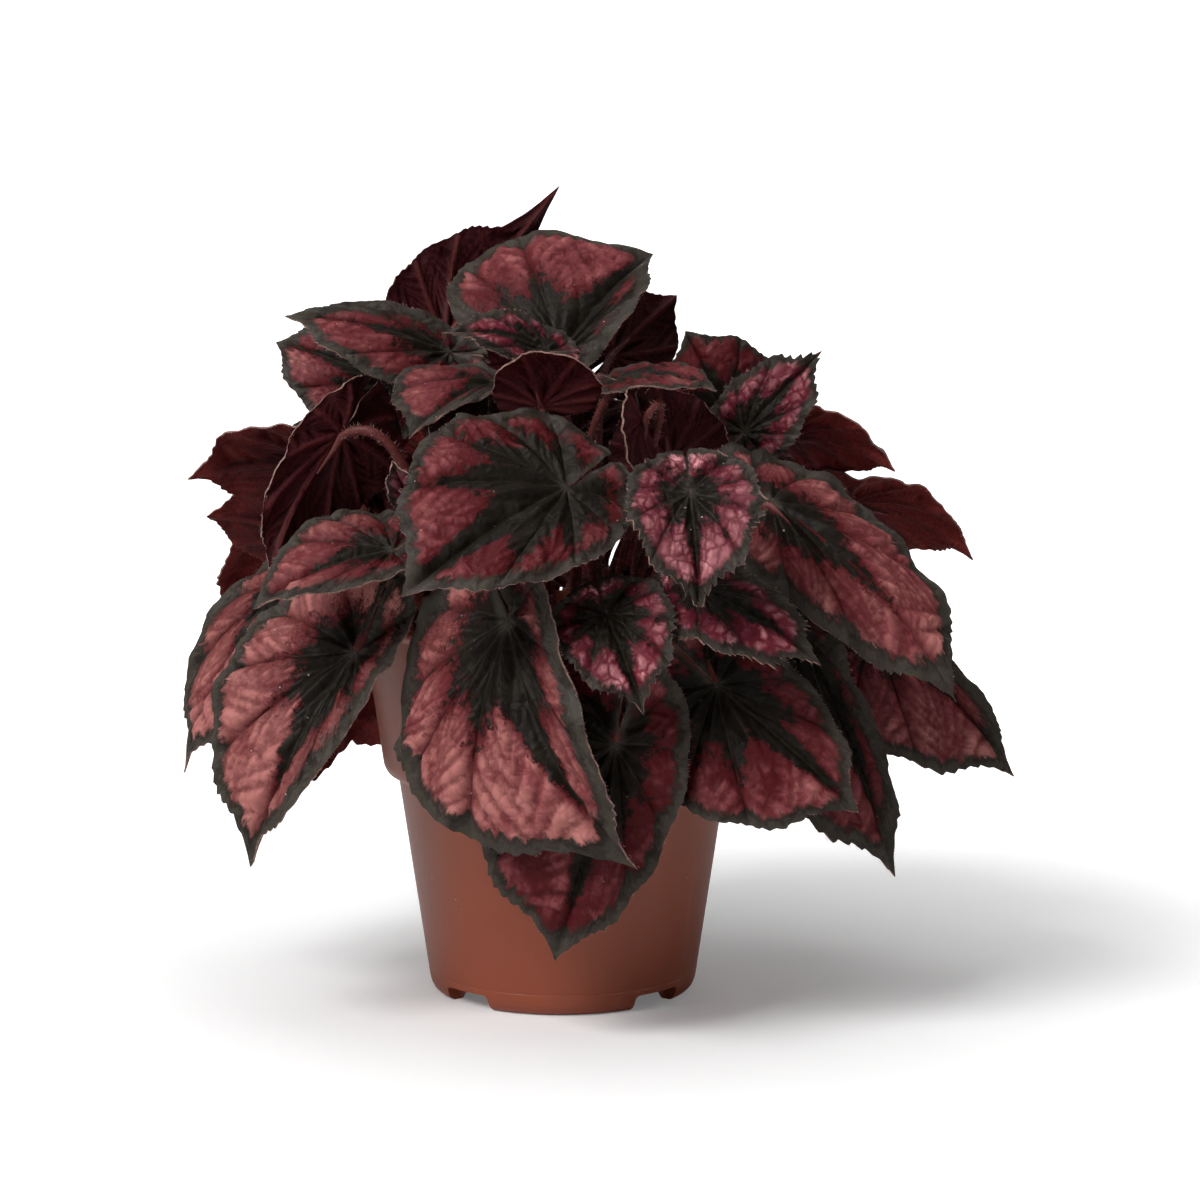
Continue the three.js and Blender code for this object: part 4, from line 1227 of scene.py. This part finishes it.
def floor_material(glow):
    """White paper with a painted glow, seen only by the camera, that brightens it to plain white away from
    the pot.
    """
    # Matt seamless paper: no gloss. The fade is a painted glow that is only seen and lights nothing:
    # dimmest by the pot, where its shadow falls, and full far from it
    material, tree, shader = new_material("seamless_paper")
    where = add(tree, "TexCoord", (), "Object")
    away = add(tree, "VectorMath", {0: where}, "Value", operation="LENGTH")
    fade = add(tree, "MapRange", {0: away, 1: 0.03, 2: 0.56, 3: 0.14, 4: glow}, **SMOOTH)
    seen = add(tree, "LightPath", (), "Is Camera Ray")
    put(tree, shader, {
        "Base Color": (0.9, 0.9, 0.9, 1),
        "Roughness": 0.85,
        "Specular IOR Level": 0.1,
        "Emission Color": (1, 1, 1, 1),
        "Emission Strength": add(tree, "Math", {0: fade, 1: seen}, operation="MULTIPLY"),
    })
    return material


def make_stage():
    """A white floor that curves up behind, soft light from the upper left, and the camera."""
    scene = bpy.context.scene
    look = scene.begonia_stage
    floor = started(bpy.ops.mesh.primitive_plane_add, size=FLOOR_SIZE)
    floor.name = "floor"
    behind = FLOOR_SIZE / 2 - 0.1
    bpy.ops.object.mode_set(mode="EDIT")
    pick(floor, "EDGE", lambda edge: all(corner.co.y > behind for corner in edge.verts))
    bpy.ops.mesh.extrude_region_move(TRANSFORM_OT_translate={"value": (0, 0, WALL_HEIGHT)})
    pick(floor, "EDGE", lambda edge: all(c.co.y > behind and c.co.z < 0.1 for c in edge.verts))
    bpy.ops.mesh.bevel(offset=WALL_BEND, segments=24, affect="EDGES")
    bpy.ops.object.mode_set(mode="OBJECT")
    bpy.ops.object.shade_smooth()
    floor.data.materials.append(floor_material(look.floor_glow))
    world = bpy.data.worlds.new("studio")
    world.use_nodes = True
    sky = world.node_tree.nodes["Background"]
    put(world.node_tree, sky, {"Color": (1, 1, 1, 1), "Strength": look.ambient})
    scene.world = world
    add_light("key", (-0.95, -0.95, 1.35), 0.8, look.key_power)
    add_light("top", (-0.1, 0.0, 1.6), 1.2, look.top_power)
    add_light("fill", (1.3, -1.6, 0.9), 1.6, look.fill_power)
    camera = bpy.data.cameras.new("camera")
    camera.lens = look.lens
    camera.sensor_width = 36
    camera.clip_start = 0.05
    body = bpy.data.objects.new("camera", camera)
    scene.collection.objects.link(body)
    target = Vector(AXIS) + Vector((look.target_side, 0, look.target_height))
    back = Vector((0, -math.cos(look.elevation), math.sin(look.elevation)))
    body.location = target + back * look.distance
    body.rotation_euler = (math.pi / 2 - look.elevation, 0, 0)
    scene.camera = body
    scene.view_settings.view_transform = "Standard"
    scene.view_settings.look = "None"


def add_light(name, place, size, power):
    """A soft square light that looks at the middle of the plant."""
    light = bpy.data.lights.new(name, "AREA")
    light.shape = "SQUARE"
    light.size = size
    light.energy = power
    body = bpy.data.objects.new(name, light)
    bpy.context.scene.collection.objects.link(body)
    body.location = place
    body.rotation_euler = (Vector((0, 0, 0.12)) - body.location).to_track_quat("-Z", "Y").to_euler()


# Add-on


class BegoniaLeafSizes(bpy.types.PropertyGroup):
    """Sizes that the leaves share, in millimetres unless they say otherwise."""

    thickness: FloatProperty(
        name="Blade thickness", description="Thickness of a blade, in mm", default=0.5, min=0.2)
    cell: FloatProperty(
        name="Cell", description="Width of a face at a large leaf's edge, in mm", default=0.95, min=0.4)
    fold_height: FloatProperty(
        name="Folds", description="Height of a large leaf's folds between main veins, in mm",
        default=2.1)
    fold_width: FloatProperty(
        name="Fold width", description="How far from a main vein a fold has risen, in mm", default=4.0)
    quilt_height: FloatProperty(
        name="Quilting", description="Height of a large leaf's quilting, in mm", default=2.5)
    pillow_width: FloatProperty(
        name="Pillow", description="How far from a side vein the quilting has risen, in mm", default=2.2)
    margin_share: FloatProperty(
        name="Margin", description="Width of a grown leaf's dark margin, as a share of its length",
        default=0.055, subtype="FACTOR")
    stalk_sides: IntProperty(
        name="Stalk sides", description="Faces round a stalk", default=10, min=6)
    stalk_steps: IntProperty(
        name="Stalk steps", description="Rings along a stalk", default=22, min=8)
    stalk_hairs: FloatProperty(
        name="Stalk hairs", description="Hairs to a millimetre of stalk", default=2.4)
    edge_hair_gap: FloatProperty(
        name="Edge hair gap", description="About two thirds of the gap between edge hairs, in mm",
        default=0.75)
    hair_length: FloatProperty(
        name="Hair length", description="Scale of the hairs' length", default=1.0)
    hair_radius: FloatProperty(
        name="Hair radius", description="Radius of a hair at its root, in mm", default=0.06)


class BegoniaLeafColours(bpy.types.PropertyGroup):
    """Colours of the leaves, as sRGB hex codes."""

    pink: StringProperty(
        name="Red zone", description="Main colour of the red zone", default="#7b3d40")
    # Also painted light: laid where the quilting rises and on leaves in the light
    pale: StringProperty(
        name="Raised zone", description="Colour of the palest patches of the red zone", default="#a56863")
    # Also painted shade: laid in the creases and near the main veins
    crimson: StringProperty(
        name="Crease", description="Colour of creases in the red zone", default="#4a1216")
    dark: StringProperty(
        name="Star", description="Black-green of the star on the veins", default="#16110c")
    vein_green: StringProperty(
        name="Star veins", description="Colour of veins in the star", default="#2e2a21")
    margin: StringProperty(
        name="Margin", description="Grey-green of the margin", default="#3d3731")
    young_pink: StringProperty(
        name="Young zone", description="Main colour of a young leaf", default="#ad4f5a")
    # Also painted light: laid where the quilting rises and on leaves in the light
    young_pale: StringProperty(
        name="Young raised", description="Raised colour of a young leaf", default="#d08b90")
    # Also painted shade: laid in the creases and near the main veins
    young_crimson: StringProperty(
        name="Young crease", description="Colour of creases in a young leaf", default="#4d0f1c")
    wine: StringProperty(
        name="Underside", description="Wine red of the underside", default="#260407")
    # Painted light: the glow of light shining through a leaf's underside
    wine_light: StringProperty(
        name="Light underside", description="Colour of lighter patches below", default="#742c29")
    rib: StringProperty(
        name="Ribs", description="Colour of the ribs below", default="#4f1f20")
    edge: StringProperty(
        name="Edge", description="Colour of the cut of a blade", default="#8f7068")
    stalk: StringProperty(
        name="Stalk", description="Colour of the stalks", default="#5a2622")
    hair: StringProperty(
        name="Hairs", description="Colour of the hairs", default="#b8958c")


class BegoniaPot(bpy.types.PropertyGroup):
    """Sizes and colours of the nursery pot."""

    rim_radius: FloatProperty(
        name="Rim radius", description="Outer radius of the rim", default=60 * MM, unit="LENGTH")
    height: FloatProperty(
        name="Height", description="Height of the pot", default=POT_HIGH.z - POT_LOW.z, unit="LENGTH")
    base_radius: FloatProperty(
        name="Base radius", description="Outer radius at the feet", default=39 * MM, unit="LENGTH")
    wall: FloatProperty(
        name="Wall", description="Thickness of the wall", default=1.4 * MM, unit="LENGTH")
    notch_width: FloatProperty(
        name="Notch width", description="Width of a drain notch", default=17 * MM, unit="LENGTH")
    notch_height: FloatProperty(
        name="Notch height", description="Height of a drain notch", default=4.6 * MM, unit="LENGTH")
    sides: IntProperty(
        name="Sides", description="Faces round the pot", default=144, min=36)
    colour: StringProperty(
        name="Colour", description="Terracotta of the plastic, as a hex code", default="#893f24")
    worn_colour: StringProperty(
        name="Mottling", description="Its darker mottling, as a hex code", default="#7f3920")
    dusty_colour: StringProperty(
        name="Dust", description="Where dust lies on it, as a hex code", default="#925037")


class BegoniaStage(bpy.types.PropertyGroup):
    """The camera's place and the strength of the lights."""

    lens: FloatProperty(
        name="Lens", description="Focal length in millimetres", default=87.03, unit="CAMERA")
    distance: FloatProperty(
        name="Distance", description="Camera to target", default=0.85, unit="LENGTH")
    elevation: FloatProperty(
        name="Elevation", description="Camera above the horizon", default=math.radians(6.72),
        subtype="ANGLE")
    target_side: FloatProperty(
        name="Target side", description="Target right of the pot", default=11 * MM, unit="LENGTH")
    target_height: FloatProperty(
        name="Target height", description="Target above the floor", default=114.8 * MM, unit="LENGTH")
    ambient: FloatProperty(
        name="Ambient", description="Strength of the white surroundings", default=0.16)
    # A painted glow, seen only by the camera, that whitens the floor away from the pot
    floor_glow: FloatProperty(
        name="Floor fade", description="How bright the floor looks away from the pot", default=1.0)
    key_power: FloatProperty(
        name="Key", description="Power of the upper left light, in watts", default=34, unit="POWER")
    top_power: FloatProperty(
        name="Top", description="Power of the light above, in watts", default=6, unit="POWER")
    fill_power: FloatProperty(
        name="Fill", description="Power of the front right light, in watts", default=2, unit="POWER")


class BEGONIA_OT_stage(bpy.types.Operator):
    """Make the floor, the lights and the camera"""

    bl_idname = "begonia.stage"
    bl_label = "Stage"

    def execute(self, context):
        make_stage()
        return {"FINISHED"}


class BEGONIA_OT_pot(bpy.types.Operator):
    """Make the nursery pot"""

    bl_idname = "begonia.pot"
    bl_label = "Nursery Pot"

    def execute(self, context):
        make_pot()
        return {"FINISHED"}


class BEGONIA_OT_compost(bpy.types.Operator):
    """Make the compost, its crumbs and its perlite"""

    bl_idname = "begonia.compost"
    bl_label = "Compost"

    def execute(self, context):
        make_compost()
        return {"FINISHED"}


class BEGONIA_OT_leaves(bpy.types.Operator):
    """Make the leaves that stand towards the viewer and to the sides"""

    bl_idname = "begonia.leaves"
    bl_label = "Near Leaves"

    def execute(self, context):
        for number, entry in enumerate(LEAVES):
            make_leaf(grown(entry, number))
        return {"FINISHED"}


class BEGONIA_OT_far_leaves(bpy.types.Operator):
    """Make the leaves of the far side"""

    bl_idname = "begonia.far_leaves"
    bl_label = "Far Leaves"

    def execute(self, context):
        for number, line in enumerate(TURNED_LEAVES, start=len(LEAVES)):
            make_leaf(grown(turned(*line), number))
        return {"FINISHED"}


class BEGONIA_PT_panel(bpy.types.Panel):
    """Sizes, colours and the operators, in the sidebar"""

    bl_label = "Potted Begonia"
    bl_idname = "BEGONIA_PT_panel"
    bl_space_type = "VIEW_3D"
    bl_region_type = "UI"
    bl_category = "Begonia"

    def draw(self, context):
        layout = self.layout
        for operator in OPERATORS:
            layout.operator(operator.bl_idname)
        for group in GROUPS:
            settings = getattr(context.scene, group)
            box = layout.box()
            for name in settings.__annotations__:
                box.prop(settings, name)


OPERATORS = (BEGONIA_OT_stage, BEGONIA_OT_pot, BEGONIA_OT_compost, BEGONIA_OT_leaves, BEGONIA_OT_far_leaves)
GROUPS = {
    "begonia_leaf_sizes": BegoniaLeafSizes,
    "begonia_leaf_colours": BegoniaLeafColours,
    "begonia_pot": BegoniaPot,
    "begonia_stage": BegoniaStage,
}


def register():
    """Registers the add-on's classes and its settings."""
    for group in GROUPS.values():
        bpy.utils.register_class(group)
    for name, group in GROUPS.items():
        setattr(bpy.types.Scene, name, PointerProperty(type=group))
    for made in (*OPERATORS, BEGONIA_PT_panel):
        bpy.utils.register_class(made)


def unregister():
    """Takes them away again."""
    for made in (BEGONIA_PT_panel, *reversed(OPERATORS)):
        bpy.utils.unregister_class(made)
    for name, group in reversed(GROUPS.items()):
        delattr(bpy.types.Scene, name)
        bpy.utils.unregister_class(group)


def main():
    """Builds the whole plant and its stage."""
    register()
    bpy.ops.begonia.stage()
    bpy.ops.begonia.pot()
    bpy.ops.begonia.compost()
    bpy.ops.begonia.leaves()
    bpy.ops.begonia.far_leaves()


if __name__ == "__main__":
    main()
